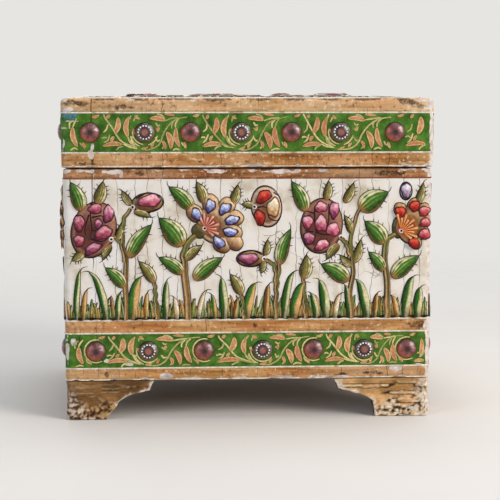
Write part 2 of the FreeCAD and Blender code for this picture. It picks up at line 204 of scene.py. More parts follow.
# How far from an arris the wear reaches, how fast it dies away, how deep it goes at most, and
# how wide the front right upright is painted pale, partly wear from hands and partly a painted highlight of
# light from the right
WEAR_REACH, WEAR_FALL, WEAR_DEEPEST, LIT_UPRIGHT_WIDTH = 2.6, 1.1, 1.2, 3.4


def lumps(points, size, seed):
    """Smooth random values from -1 to 1 at points in mm, in lumps of about the given size."""
    cell = points / size + seed * 17.31
    low = np.floor(cell)
    part = cell - low
    part = part * part * (3 - 2 * part)
    total = np.zeros(cell.shape[:-1])
    for corner in itertools.product((0, 1), repeat=3):
        hashed = np.sin((low + corner) @ np.array((127.1, 311.7, 74.7)) + seed) * 43758.5453
        weight = np.where(corner, part, 1 - part).prod(axis=-1)
        total += weight * (hashed - np.floor(hashed))
    return 2 * total - 1


def rub(points, block):
    """Wear the arrises of a painted block back, and paint its front right upright pale as a painted
    highlight. Gives the moved points and how far each is worn to gesso and painted pale.
    """
    half_w, half_d, low, high = block
    x, y, z = points.T
    inset = np.stack([half_w - abs(x), half_d - abs(y), np.minimum(z - low, high - z)], axis=1)
    inwards = np.stack([-np.sign(x), -np.sign(y), np.sign((low + high) / 2 - z)], axis=1)
    to_arris = np.sort(inset, axis=1)[:, 1]
    near = np.clip(1 - to_arris / WEAR_REACH, 0, 1)
    soft = near ** 2 * (0.3 + 0.25 * lumps(points, 7.0, 1))
    nick = near * np.clip(lumps(points, 3.1, 2) - 0.35, 0, 1) * 1.5
    depth = np.clip(soft + nick, 0, WEAR_DEEPEST)
    moved = points + inwards * np.exp(-np.clip(inset, 0, None) / WEAR_FALL) * depth[:, None]
    # Painted highlight: the front right upright is painted pale up its whole height, over the wear from
    # hands
    to_upright = np.maximum(inset[:, 0], inset[:, 1])
    lit_upright = np.clip(1 - to_upright / LIT_UPRIGHT_WIDTH, 0, 1) * ((x > 0) & (y < 0))
    bare_and_lit = np.clip(near * (0.55 + 0.55 * lumps(points, 5.2, 3)) + lit_upright + nick, 0, 1)
    return moved, bare_and_lit


def spots_on(points, side, block, spots, seed):
    """How strongly ragged spots, as (across, up, half width, half height), mark points of a side."""
    half_w, half_d = block[:2]
    x, y, z = points.T
    out, across = {"front": (-y - half_d, x), "back": (y - half_d, -x),
                   "right": (x - half_w, y), "left": (-x - half_w, -y)}[side]
    mark = np.zeros(len(points))
    ragged = 0.4 * lumps(points, 1.3, seed) + 0.25 * lumps(points, 2.9, seed + 1)
    for u, v, half_u, half_v in spots:
        reach = np.hypot((across - u) / half_u, (z - v) / half_v) + ragged
        mark = np.maximum(mark, np.clip(1.7 - reach, 0, 1))
    return mark * (out > -1.6)


def scattered(length, levels, count, seed):
    """Chips strewn by chance along the bands of a side that the photograph doesn't show."""
    dice = random.Random(seed)
    return [(dice.uniform(-length, length), dice.choice(levels),
             dice.uniform(0.8, 2.6), dice.uniform(0.5, 1.1)) for _ in range(count)]


def worn(points, bare_and_lit, faded, block, chips, stains, retouches):
    """The marks at each point: gesso worn through and the painted highlight on the front right upright,
    dark stains, blue retouching and faded gold, as one mark.
    """
    wear_and_highlight = np.zeros((len(points), 4))
    wear_and_highlight[:, 0] = bare_and_lit
    wear_and_highlight[:, 3] = faded
    for channel, marks in enumerate((chips, stains, retouches)):
        for side, spots in marks.items():
            marked = spots_on(points, side, block, spots, 8 + 3 * channel)
            wear_and_highlight[:, channel] = np.maximum(wear_and_highlight[:, channel], marked)
    return wear_and_highlight


def laid_flat(points, block):
    """Where each point lies on the painted skin laid out flat: round the block, and up."""
    half_w, half_d, _, high = block
    x, y, z = points.T
    on_end = half_w - abs(x) < half_d - abs(y)
    end_face = np.sign(x) * (half_w + half_d + y)
    long_face = np.where(y < 0, x, 2 * half_w + 2 * half_d - x)
    on_top = z > high - 0.2
    round_it = np.where(on_top, x, np.where(on_end, end_face, long_face))
    return np.stack([round_it, np.where(on_top, y, z), 0 * z, 0 * z + 1], axis=1)


def remeshed(nodes, voxel):
    """Points in mm and faces of the CAD solids of some nodes, run together as one fine mesh."""
    verts, faces = [], []
    for name in nodes:
        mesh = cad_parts[name].data
        start = len(verts)
        verts += [v.co[:] for v in mesh.vertices]
        faces += [[start + i for i in face.vertices] for face in mesh.polygons]
    blank = bpy.data.meshes.new("blank")
    blank.from_pydata(verts, [], faces)
    holder = bpy.data.objects.new("blank", blank)
    bpy.context.scene.collection.objects.link(holder)
    modifier = holder.modifiers.new("remesh", "REMESH")
    modifier.mode = "VOXEL"
    modifier.voxel_size = voxel * MM
    graph = bpy.context.evaluated_depsgraph_get()
    fine = bpy.data.meshes.new_from_object(holder.evaluated_get(graph))
    points = np.empty(len(fine.vertices) * 3)
    fine.vertices.foreach_get("co", points)
    quads = np.array([face.vertices[:] for face in fine.polygons])
    bpy.data.objects.remove(holder)
    bpy.data.meshes.remove(fine)
    bpy.data.meshes.remove(blank)
    return points.reshape(-1, 3) / MM, quads


def make_piece(name, points, faces, marks, material, body, stands_for=()):
    """A smooth-shaded piece from points in mm, with its point attributes, riding on a body."""
    mesh = bpy.data.meshes.new(name)
    mesh.from_pydata((np.asarray(points) * MM).tolist(), [], np.asarray(faces).tolist())
    for mark, values in marks.items():
        values = np.asarray(values, dtype=np.float32)
        kind, field = ("FLOAT_COLOR", "color") if values.ndim == 2 else ("FLOAT", "value")
        mesh.attributes.new(mark, kind, "POINT").data.foreach_set(field, values.ravel())
    mesh.polygons.foreach_set("use_smooth", np.ones(len(mesh.polygons), dtype=bool))
    mesh.materials.append(material)
    piece = bpy.data.objects.new(name, mesh)
    bpy.context.scene.collection.objects.link(piece)
    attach(piece, body)
    if stands_for:
        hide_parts(*stands_for)
    return piece


def share_out(points, quads, marks, which, names, material, body):
    """Cut one fine mesh into the boards that it covers: which numbers each face's board."""
    for number, name in enumerate(names):
        own = quads[which == number]
        used, faces = np.unique(own, return_inverse=True)
        own_marks = {mark: values[used] for mark, values in marks.items()}
        make_piece("painted_" + name, points[used], faces.reshape(own.shape), own_marks,
                   material, body, [name])


# Distemper and gold paint on gesso, under old varnish: mottled colour, streaked gold, fine
# dark craquelure, and white gesso where the paint has gone from the arrises.
GOLD_TONES = ((0.22, "#54371a"), (0.40, "#9c6f3c"), (0.56, "#bd8e57"), (0.80, "#dab282"))
GREEN_TONES = ((0.25, "#1c3a10"), (0.50, "#416b20"), (0.75, "#66923c"))
CREAM_TONES = ((0.25, "#b3a88e"), (0.46, "#dfdacf"), (0.62, "#e4e3e0"), (0.82, "#dfce9f"))
STRIP_TONES = ((0.25, "#46290f"), (0.45, "#875a34"), (0.62, "#ab7d52"), (0.85, "#cfae88"))
GESSO_TONES = ((0.30, "#a89c92"), (0.55, "#d6cec8"), (0.80, "#e6e0da"))
# Sizes in mm of the marks in the paint: each paint's mottle, red flushes and flecks in the gold,
# breaks in the stains, and the ragged edge of a chip
MOTTLE = {"gold": 1.9, "strip": 1.5, "green": 4.5, "cream": 13.0, "gesso": 2.4}
FLUSH, FLECK, STAIN_BREAK, CHIP_EDGE = 26.0, 1.7, 1.6, 2.2
# How far the brush wanders where two colours meet, and in what length
BRUSH_WANDER, WANDER_LENGTH = 0.6, 9.0
# Cracks: their spacing and waver, upright and level; the length of a bend; the size of a patch
# that shows them; and their width, from full dark to none
UPRIGHT_CRACKS, LEVEL_CRACKS = (6.5, 4.0), (9.0, 12.0)
CRACK_BEND, CRACK_PATCH, CRACK_DARK, CRACK_WIDTH = 8.0, 12.0, 0.06, 0.2
# The long split: its place across the front, its lower end, and how it wanders and dies away
SPLIT_X, SPLIT_LOW, SPLIT_WANDER, SPLIT_FADE = -62.7, 60.0, 1.5, 6.0


def painted_bands(name, bands):
    """Banded paint on gesso. Bands are (level in mm, paint) from the lowest level to the highest."""
    material, tree, where = new_material(name)
    level = add(tree, "Attribute", {"attribute_name": "level"}, {}).outputs["Fac"]
    wear_and_highlight = add(tree, "Attribute", {"attribute_name": "wear_and_highlight"}, {}).outputs
    bare_and_lit, stained, retouched = add(tree, "SeparateColor", {}, {0: wear_and_highlight["Color"]}).outputs
    inside = add(tree, "Attribute", {"attribute_name": "inside"}, {}).outputs["Fac"]

    # Which paint a point has, by its level
    wavy = reckon(tree, "MULTIPLY_ADD", noise(tree, where, WANDER_LENGTH, 2.0), BRUSH_WANDER, level)
    lowest, highest = bands[0][0], bands[-1][0]
    along = ranged(tree, wavy, lowest + BRUSH_WANDER / 2, highest + BRUSH_WANDER / 2)
    which = add(tree, "ValToRGB", {}, {"Fac": along})
    keys = {"gold": (0, 0, 0, 1), "green": (1, 0, 0, 1), "cream": (0, 1, 0, 1), "strip": (0, 0, 1, 1)}
    which.color_ramp.interpolation = "CONSTANT"
    for number, (start, kind) in enumerate(bands[:-1]):
        place = (start - lowest) / (highest - lowest)
        stop = which.color_ramp.elements[0] if number == 0 else which.color_ramp.elements.new(place)
        stop.position = place
        stop.color = keys[kind]
    which.color_ramp.elements[-1].color = keys[bands[-2][1]]
    on_green, on_cream, on_strip = add(tree, "SeparateColor", {}, {0: which.outputs["Color"]}).outputs

    # Each paint has its own mottle; the gold is streaked along the strips
    streaks = add(tree, "Mapping", {}, {"Vector": where, "Scale": (0.09, 0.09, 1.0)}).outputs[0]
    mottles = {"gold": (streaks, GOLD_TONES), "strip": (streaks, STRIP_TONES),
               "green": (where, GREEN_TONES), "cream": (where, CREAM_TONES), "gesso": (where, GESSO_TONES)}
    paints, grain = {}, {}
    for kind, (place, tones) in mottles.items():
        grain[kind] = noise(tree, place, MOTTLE[kind], 5.0, Roughness=0.62)
        paints[kind] = ramp(tree, grain[kind], tones)
    colour = paints["gold"]
    for kind, share in (("strip", on_strip), ("green", on_green), ("cream", on_cream)):
        colour = mixed(tree, share, colour, paints[kind])

    # The gold is redder in some places, where the coat under it shows through, and paler where faded
    redder = ranged(tree, noise(tree, where, FLUSH, 3.0), 0.42, 0.7, 0.0, 0.5)
    on_gold = ranged(tree, reckon(tree, "MAXIMUM", on_green, on_cream), 0.0, 1.0, 1.0, 0.0)
    share = reckon(tree, "MULTIPLY", redder, on_gold)
    colour = mixed(tree, share, colour, linear("#f0b48c"), "MULTIPLY")
    paler = reckon(tree, "MULTIPLY", wear_and_highlight["Alpha"], on_gold)
    colour = mixed(tree, paler, colour, linear("#e0c39c"))

    # Fine flecks in the gold, pale where it has flaked and dark where dirt has caught
    flecks = noise(tree, where, FLECK, 3.0, Roughness=0.6)
    for near, far, most, tone in ((0.58, 0.68, 0.6, "#e8d6b8"), (0.42, 0.32, 0.65, "#3c2510")):
        share = reckon(tree, "MULTIPLY", ranged(tree, flecks, near, far, 0.0, most), on_gold)
        colour = mixed(tree, share, colour, linear(tone))

    # Dark stains and old blue retouching, both broken up
    broken = noise(tree, where, STAIN_BREAK, 5.0, Roughness=0.7)
    for mark, tone in ((stained, "#2c1a0c"), (retouched, "#4c8299")):
        left = reckon(tree, "MULTIPLY_ADD", broken, 1.9, mark)
        colour = mixed(tree, ranged(tree, left, 1.5, 2.05, 0.0, 0.85, soft=True), colour, linear(tone))

    # Craquelure: upright cracks through all the bands, and level ones that join them on the cream
    bend = noise(tree, where, CRACK_BEND, 3.0)
    flat = add(tree, "Attribute", {"attribute_name": "flat"}, {}).outputs["Vector"]
    around, up, _ = add(tree, "SeparateXYZ", {}, {0: flat}).outputs
    lines = []
    for way, (cell, waver) in ((around, UPRIGHT_CRACKS), (up, LEVEL_CRACKS)):
        wavering = reckon(tree, "MULTIPLY_ADD", bend, waver, way)
        edges = add(tree, "TexVoronoi", {"feature": "DISTANCE_TO_EDGE", "voronoi_dimensions": "1D"}, {
            "W": wavering, "Scale": 1 / cell, "Randomness": 0.9})
        lines.append(ranged(tree, edges.outputs["Distance"], CRACK_DARK / cell, CRACK_WIDTH / cell,
                            1.0, 0.0, soft=True))
    patchy = noise(tree, where, CRACK_PATCH, 2.0)
    joining = reckon(tree, "MULTIPLY", ranged(tree, patchy, 0.48, 0.62, 0.0, 0.75), on_cream)
    line = reckon(tree, "MAXIMUM", lines[0], reckon(tree, "MULTIPLY", lines[1], joining))
    here_and_there = ranged(tree, patchy, 0.46, 0.66, 0.0, 0.75)
    nearly_all = ranged(tree, patchy, 0.3, 0.6, 0.15, 0.85)
    shown = add(tree, "Mix", {}, {0: on_cream, 2: here_and_there, 3: nearly_all}).outputs[0]
    fine = reckon(tree, "MULTIPLY", line, shown)

    # One long split runs down the front near its left end
    wandering = reckon(tree, "MULTIPLY_ADD", bend, SPLIT_WANDER, around)
    aside = reckon(tree, "SUBTRACT", wandering, SPLIT_X + SPLIT_WANDER / 2)
    split = ranged(tree, reckon(tree, "ABSOLUTE", aside), 0.12, 0.34, 0.85, 0.0, soft=True)
    down_to = ranged(tree, up, SPLIT_LOW, SPLIT_LOW + SPLIT_FADE)
    crack = reckon(tree, "MAXIMUM", fine, reckon(tree, "MULTIPLY", split, down_to))
    crack_tone = mixed(tree, on_cream, linear("#2e1c0c"), linear("#5d4f40"))
    colour = mixed(tree, crack, colour, crack_tone)

    # Bare gesso on the arrises, with ragged edges; the same pale gesso colour runs up the front right
    # upright as a painted highlight
    edge = reckon(tree, "MULTIPLY_ADD", noise(tree, where, CHIP_EDGE, 4.0), 0.9, bare_and_lit)
    chip = ranged(tree, edge, 1.0, 1.1, soft=True)
    colour = mixed(tree, chip, colour, paints["gesso"])

    # The inside of the box is stained dark before it is lined
    colour = mixed(tree, inside, colour, linear("#4a2a1a"))

    # The grain stands up, cracks and chips are cut in, and the chips are matt
    grained = reckon(tree, "MULTIPLY", grain["gold"], 0.16)
    cut = reckon(tree, "MULTIPLY_ADD", crack, -0.14, grained)
    height = reckon(tree, "MULTIPLY_ADD", chip, -0.12, cut)
    gloss = ranged(tree, grain["gold"], 0.0, 1.0, 0.26, 0.5)
    matt = reckon(tree, "MULTIPLY_ADD", chip, 0.35, gloss)
    coat(tree, colour, height, 1.0, 0.8, {"Roughness": matt, "IOR": 1.5, "Specular IOR Level": 0.13})
    return material


case_paint = painted_bands("distemper_and_gold_on_gesso_case", [
    (CASE_LOW, "gold"), (CASE_GREEN_LOW, "green"), (CASE_GREEN_HIGH, "gold"), (PANEL_LOW, "cream"),
    (PANEL_HIGH, "strip"), (CASE_RIM, "strip")])
CASE_BOARDS = ["front_board", "back_board", "left_board", "right_board"]
points, quads = remeshed(CASE_BOARDS, VOXEL)
moved, bare_and_lit = rub(points, CASE_BLOCK)
inner_x, inner_y = CASE_HALF_W - BOARD, CASE_HALF_D - BOARD
within = (abs(points[:, 0]) < inner_x + 0.5) & (abs(points[:, 1]) < inner_y + 0.5)
middle = points[quads].mean(axis=1)
on_side = (abs(middle[:, 1]) < CASE_HALF_D - LIP) & (abs(middle[:, 0]) > inner_x - 0.2)
which = np.where(on_side, np.where(middle[:, 0] < 0, 2, 3), np.where(middle[:, 1] < 0, 0, 1))
# Chips and stains as (across, up, half width, half height): read off the front, and the chips
# strewn by chance elsewhere
CASE_EDGES = (16.8, 21.3, 35.7, 41.3, 101.4)
CASE_CHIPS = {
    "front": [
        (-73, 101.6, 1.8, 0.9), (-62.7, 101.4, 0.9, 1.2), (-54.5, 101.3, 2.6, 0.9), (-51, 99.6, 0.7, 1.4),
        (-13, 101.3, 3.6, 0.9), (12.5, 101.2, 6.5, 0.8), (30, 101.6, 2.0, 0.5), (-71, 32.6, 1.6, 1.5),
        (-73.6, 29, 0.8, 4.0), (-56.5, 24.2, 2.2, 1.0), (-48.5, 23, 1.7, 0.8), (-33.5, 17.8, 3.2, 1.4),
        (61, 20.3, 2.4, 1.0), (-24, 16.8, 5.0, 0.5), (-4, 16.7, 7.0, 0.5), (14, 16.8, 5.0, 0.6),
        (31, 16.9, 3.0, 0.6), (38, 16.7, 2.6, 0.7), (72.8, 38, 1.2, 1.6), (70, 21.5, 1.6, 0.5)],
    "back": scattered(70, CASE_EDGES, 16, 61),
    "left": scattered(50, CASE_EDGES, 12, 62),
    "right": scattered(50, CASE_EDGES, 12, 63),
}
CASE_STAINS = {"front": [
    (57, 100.4, 6.0, 1.3), (-44, 100.6, 2.0, 0.9), (70, 38.4, 4.5, 1.6), (2.5, 38.6, 0.9, 1.3),
    (-58, 18.8, 0.9, 1.2), (52, 18.4, 6.0, 0.7), (38, 18.0, 4.0, 0.6)]}
faded = 0.3 * np.clip(lumps(points, 17.0, 4) + 0.2, 0, 1)
wear_and_highlight = worn(points, bare_and_lit, faded, CASE_BLOCK, CASE_CHIPS, CASE_STAINS, {})
marks = {"level": points[:, 2], "wear_and_highlight": wear_and_highlight, "inside": within.astype(float),
         "flat": laid_flat(points, CASE_BLOCK)}
share_out(moved, quads, marks, which, CASE_BOARDS, case_paint, "case")

# Lid boards
# Four rails and a top board, glued up as the case is and painted with the same bands, which
# turn over the arris and frame a cream panel on top. The rail's lower edge is rubbed to gesso.
LID_HALF_W, LID_HALF_D = 75.0, 55.0
LID_LOW, LID_TOP = 102.7, 130.5
LID_GREEN_LOW, LID_GREEN_HIGH = 108.8, 125.1
LID_BLOCK = (LID_HALF_W, LID_HALF_D, LID_LOW, LID_TOP)
# On top, how far in from the arris the green, the inner gold and the cream panel begin
TOP_GREEN_EDGE, TOP_GOLD_EDGE, TOP_PANEL_EDGE = 5.4, 19.4, 24.8

lid_paint = painted_bands("distemper_and_gold_on_gesso_lid", [
    (LID_LOW, "gold"), (LID_GREEN_LOW, "green"), (LID_GREEN_HIGH, "gold"),
    (LID_TOP + TOP_GREEN_EDGE, "green"), (LID_TOP + TOP_GOLD_EDGE, "gold"),
    (LID_TOP + TOP_PANEL_EDGE, "cream"), (LID_TOP + LID_HALF_D, "cream")])
LID_BOARDS = ["lid_front_rail", "lid_back_rail", "lid_left_rail", "lid_right_rail", "lid_top_board"]
TOP_BOARD_UNDER = 125.1
points, quads = remeshed(LID_BOARDS, VOXEL)
moved, bare_and_lit = rub(points, LID_BLOCK)
inset = np.minimum(LID_HALF_W - abs(points[:, 0]), LID_HALF_D - abs(points[:, 1]))
level = np.where(points[:, 2] > LID_TOP - 0.2, LID_TOP + inset, points[:, 2])
within = (inset > BOARD - 0.5) & (points[:, 2] < TOP_BOARD_UNDER + 0.5)
middle = points[quads].mean(axis=1)
on_top = middle[:, 2] > TOP_BOARD_UNDER - 0.2
on_side = (abs(middle[:, 1]) < LID_HALF_D - LIP) & (abs(middle[:, 0]) > LID_HALF_W - BOARD - 0.2)
which = np.where(on_side, np.where(middle[:, 0] < 0, 2, 3), np.where(middle[:, 1] < 0, 0, 1))
which = np.where(on_top, 4, which)
LID_EDGES = (103.4, 108.8, 125.0, 129.8)
LID_CHIPS = {
    "front": [
        (-72.4, 126, 2.3, 0.8), (-62.9, 108, 1.1, 1.7), (-62.3, 110.9, 0.5, 1.2), (-73.6, 118.9, 1.5, 0.4),
        (-70, 121.2, 2.6, 0.35), (-22, 129.6, 1.2, 0.5), (24, 129.7, 1.8, 0.4), (-47, 129.8, 1.4, 0.4),
        (73.6, 128.6, 2, 2.6), (70.4, 129.6, 2.6, 0.6), (71.6, 126.4, 0.8, 0.7), (-73.8, 129.8, 1.6, 0.8)],
    "back": scattered(70, LID_EDGES, 10, 64),
    "left": scattered(50, LID_EDGES, 8, 65),
    "right": scattered(50, LID_EDGES, 8, 66),
}
# Dark marks: stains, and a row along the top front arris that darkens it
LID_DARK_MARKS = {"front": [
    (-71, 128.8, 2.6, 1.5), (-58, 130.2, 6.0, 0.7), (-43, 130.1, 5.0, 0.9), (-34, 128.4, 1.2, 0.7),
    (-28, 130.3, 7.0, 0.6), (-12, 130.1, 6.0, 0.8), (4, 130.3, 7.0, 0.6), (18, 130.1, 6.0, 0.8),
    (33, 130.2, 6.0, 0.7), (48, 130.3, 7.0, 0.6), (62, 130.1, 6.0, 0.8), (-47, 127.0, 1.6, 0.6),
    (-66, 104.6, 3.0, 0.9), (-20, 105.2, 1.0, 0.6), (64, 128.6, 5.0, 0.9), (69, 127.4, 2.6, 0.9),
    (-66, 128.4, 4.0, 1.2), (-52, 127.2, 4.0, 1.0)]}
LID_RETOUCHES = {"front": [(-71.2, 123.6, 3.4, 1.5)]}
# The gold above the green has faded most, and its front arris is worn less and darkened by a row of dark
# marks
upper = points[:, 2] > LID_GREEN_HIGH
faded = np.where(upper, 0.45, 0.15) + np.where(upper, 0.4, 0.3) * lumps(points, 12.0, 4)
darkened_arris = upper & (points[:, 1] < -LID_HALF_D + 3.0)
bare_and_lit = np.where(darkened_arris, 0.5 * bare_and_lit, bare_and_lit)
wear_and_highlight = worn(points, bare_and_lit, np.clip(faded, 0, 1), LID_BLOCK, LID_CHIPS, LID_DARK_MARKS, LID_RETOUCHES)
marks = {"level": level, "wear_and_highlight": wear_and_highlight, "inside": within.astype(float),
         "flat": laid_flat(points, LID_BLOCK)}
share_out(moved, quads, marks, which, LID_BOARDS, lid_paint, "lid")

# Bottom board
# A thin softwood panel let into a groove in the four walls, left bare underneath.
# Planed pine, darkened with age: straight streaky grain and a dull surface.
aged_pine, tree, where = new_material("aged_planed_pine")
GRAIN_WIDTH = 2.5
stretched = add(tree, "Mapping", {}, {"Vector": where, "Scale": (0.06, 1.0, 1.0)}).outputs[0]
streak = noise(tree, stretched, GRAIN_WIDTH, 6.0)
tone = ramp(tree, streak, ((0.3, "#5e4428"), (0.7, "#9a7a50")))
coat(tree, tone, streak, 0.2, 0.6, {"Roughness": 0.7})
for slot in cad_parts["bottom_board"].material_slots:
    slot.material = aged_pine

# Feet
# Four bracket feet sawn from thick board, glued under the corners, coated with gesso and gold.
# The coat has split along the grain and come off in flakes; the sawn edges are torn to white gesso.
FOOT_VOXEL, FOOT_TOP = 0.45, 16.0
# The height of a wing's nose, how far the edge leans out above it, and how high the cove arches
FOOT_NOSE, FOOT_LEAN, FOOT_COVE = 11.5, 1.5, 0.8
# A wing's length, and how far from the corner its toe and its waist are, and the waist's height
FOOT_SIDE = (30.0, 19.5, 22.5, 7.6)


def foot_edge(wing):
    """The sawn edge of a wing seen square on, from toe to nose: distance from the corner, and height."""
    length, toe, waist, waist_up = wing
    nose = length - FOOT_LEAN
    cove = ((waist + nose) / 2, (waist_up + FOOT_NOSE) / 2 + FOOT_COVE)
    return [(toe, 0.0), (waist, waist_up), cove, (nose, FOOT_NOSE), (length, FOOT_TOP)]


def gap_to(path, along, up):
    """Distance in mm from points to a broken line."""
    gap = np.full(along.shape, 99.0)
    for (u0, v0), (u1, v1) in zip(path, path[1:]):
        du, dv = u1 - u0, v1 - v0
        part = np.clip(((along - u0) * du + (up - v0) * dv) / (du * du + dv * dv), 0, 1)
        gap = np.minimum(gap, np.hypot(along - u0 - part * du, up - v0 - part * dv))
    return gap


def step(low, high, value):
    """A soft step from 0 at low to 1 at high."""
    part = np.clip((value - low) / (high - low), 0, 1)
    return part * part * (3 - 2 * part)


def tint(colour, other, share):
    """Colours mixed towards another colour by a share at each point."""
    other = np.array(linear(other)) if isinstance(other, str) else other
    colour = np.array(linear(colour)) if isinstance(colour, str) else colour
    return colour + (other - colour) * np.asarray(share)[..., None]


def brushed_coat(name, mark, shades, depth, strength, settings, grain=(1.0, 1.0, 1.0), **cloud):
    """A material in a piece's brushed colours, shaded and embossed in marks of a size in mm."""
    material, tree, where = new_material(name)
    laid = add(tree, "Mapping", {}, {"Vector": where, "Scale": grain}).outputs[0]
    mottle = noise(tree, laid, mark, **cloud)
    brushed = add(tree, "Attribute", {"attribute_name": "paint"}, {}).outputs["Color"]
    varied = mixed(tree, 1.0, brushed, ranged(tree, mottle, 0.3, 0.7, *shades), "MULTIPLY")
    coat(tree, varied, mottle, depth, strength, settings)
    return material


# Flaking bole and gold over gesso: brown and gold in split layers, pale torn edges, dry and rough.
FLAKE = 1.1
flaking_gold = brushed_coat("flaking_gold_on_gesso", FLAKE, (0.62, 1.28), 0.5, 0.8, {
    "Roughness": 0.5, "IOR": 1.5, "Specular IOR Level": 0.13},
    grain=(0.45, 0.45, 1.0), detail=6.0, Roughness=0.65, Distortion=0.8)

FEET_BLOCK = (CASE_HALF_W, CASE_HALF_D, 0.0, CASE_RIM)
# How far each foot's gold has split in layers, and its wing along the front or the back: the
# front left one is brown and still smooth above
FEET = {
    "foot_front_left": (0.15, (36.0, 16.5, 22.5, 7.6)),
    "foot_front_right": (1.0, (39.5, 22.5, 23.6, 6.6)),
    "foot_back_left": (0.8, (36.0, 19.5, 22.5, 7.6)),
    "foot_back_right": (0.5, (36.0, 19.5, 22.5, 7.6)),
}
for number, (name, (split_open, wing)) in enumerate(FEET.items()):
    points, quads = remeshed([name], FOOT_VOXEL)
    x, y, z = points.T
    from_side, from_front = CASE_HALF_W - abs(x), CASE_HALF_D - abs(y)
    on_front = from_front < from_side
    depth_in = np.minimum(from_front, from_side)
    along = np.where(on_front, from_side, from_front)
    torn = np.where(on_front, gap_to(foot_edge(wing), along, z), gap_to(foot_edge(FOOT_SIDE), along, z))
    blot = step(-0.5, 0.5, lumps(points, 5.0, 30 + number))
    fine = lumps(points, 1.0, 40 + number)
    layer = lumps(points * (0.13, 0.13, 1.0), 1.6, 50 + number) + 0.12 * fine
    low_down = step(-1.0, 1.0, (6.5 - split_open - z) / 2.5 + 1.3 * lumps(points, 5.0, 60 + number))
    corner = step(-1.0, 1.0, (7.0 - along) / 3.0 + (8.0 - z) / 3.0 - 0.6)

    everywhere = np.full(len(points), split_open)
    gold = tint(tint("#4e3519", "#80592c", blot), tint("#a07846", "#d4a873", blot), everywhere)
    split = (0.25 + 0.75 * split_open) * step(0.0, 3.0, FOOT_TOP - z)
    colour = tint(gold, "#dcc49c", 0.8 * split * step(0.08, 0.16, layer) * (1 - step(0.2, 0.42, layer)))
    colour = tint(colour, "#22130a", 0.95 * split * (1 - step(0.05, 0.16, abs(layer))))
    crumbs = 0.7 * lumps(points, 1.2, 70 + number) + 0.5 * lumps(points, 0.7, 80 + number)
    crumb_tone = tint("#b08a52", "#ece2cc", everywhere)
    colour = tint(colour, crumb_tone, 0.95 * low_down * step(0.05 - 0.1 * split_open, 0.3, crumbs))
    colour = tint(colour, "#2e1a0a", 0.9 * low_down * (1 - step(-0.4, -0.1, crumbs)))
    colour = tint(colour, "#cfc6ba", 0.85 * corner * step(0.0, 0.3, crumbs))
    end_grain = split_open * (1 - step(2.5, 7.0, along + 3.0 * fine)) * step(-0.3, 0.1, crumbs)
    colour = tint(colour, "#d8cdbc", 0.75 * end_grain)
    nose = step(-7.0, -3.0, along - np.where(on_front, wing[0], FOOT_SIDE[0]))
    broken = np.maximum(nose, step(0.0, 0.5, lumps(points, 2.6, 95 + number)))
    outer = 1 - step(0.8, 1.6, depth_in)
    white = (1 - step(0.6, 1.8 + 2.4 * nose * split_open, torn + 0.8 * fine)) * outer * broken
    colour = tint(colour, "#dfd4c6", 0.9 * white)
    colour = tint(colour, "#5a4229", step(0.9, 1.9, depth_in))

    moved, bare_and_lit = rub(points, FEET_BLOCK)
    ledge = 0.34 * step(-0.02, 0.06, layer) * split + 0.30 * low_down * step(-0.2, 0.2, crumbs)
    rough = ledge + 0.10 * fine - 0.5 - 0.35 * low_down * step(0.1, 0.5, -crumbs)
    fade = np.clip((FOOT_TOP - z) / 2, 0, 1) * np.clip(z / 0.8, 0, 1)
    outwards = np.stack([np.sign(x) * (from_side < 1.0), np.sign(y) * (from_front < 1.0), 0 * z], axis=1)
    moved = moved + outwards * (np.clip(rough, -1.0, 0.0) * fade)[:, None]
    ragged = (0.35 + 0.35 * lumps(points, 1.7, 90 + number)) * (1 - step(0.3, 1.6, torn)) * fade
    torn_way = np.stack([np.sign(x) * on_front, np.sign(y) * ~on_front, 0.6 + 0 * z], axis=1)
    moved = moved + torn_way * ragged[:, None]
    moved[:, 2] = np.maximum(moved[:, 2], 0)
    # Pale gesso on the worn arrises; on the front right foot's upright this pale is also the painted
    # highlight
    colour = tint(colour, "#ddd3c6", 0.85 * step(0.75, 0.95, bare_and_lit) * outer)
    make_piece("gilded_" + name, moved, quads, {"paint": np.clip(colour, 0, 1)}, flaking_gold, "case",
               [name])

# Raised flowers on the panels
# Sprays of flowers, leaves and grass, built up in gesso by brush on the cream panels,
# painted, outlined in dark brown and varnished.
# One step of a panel's grid, a hundredth of its height
GRID = 0.572


def new_layer():
    """An empty layer of gesso: points as (across, up, out) in mm, faces and colours."""
    return {"points": [], "faces": [], "paint": [], "count": 0}


def lay(layer, points, colours, closed=False):
    """Add a grid of points in rows and columns to a layer, facing out."""
    rows, columns = points.shape[:2]
    number = np.arange(rows * columns).reshape(rows, columns) + layer["count"]
    if closed:
        number = np.concatenate([number, number[:, :1]], axis=1)
        points_round = np.concatenate([points, points[:, :1]], axis=1)
    else:
        points_round = points
    faces = np.stack([number[:-1, :-1], number[:-1, 1:], number[1:, 1:], number[1:, :-1]], axis=-1)
    across = points_round[1:, 1:] - points_round[:-1, :-1]
    back = points_round[1:, :-1] - points_round[:-1, 1:]
    facing = (across[..., 0] * back[..., 1] - across[..., 1] * back[..., 0]).sum()
    faces = faces.reshape(-1, 4)
    layer["faces"].append(faces[:, ::-1] if facing < 0 else faces)
    layer["points"].append(points.reshape(-1, 3))
    colours = np.broadcast_to(colours, points.shape[:2] + (4,))
    layer["paint"].append(colours.reshape(-1, 4))
    layer["count"] += rows * columns


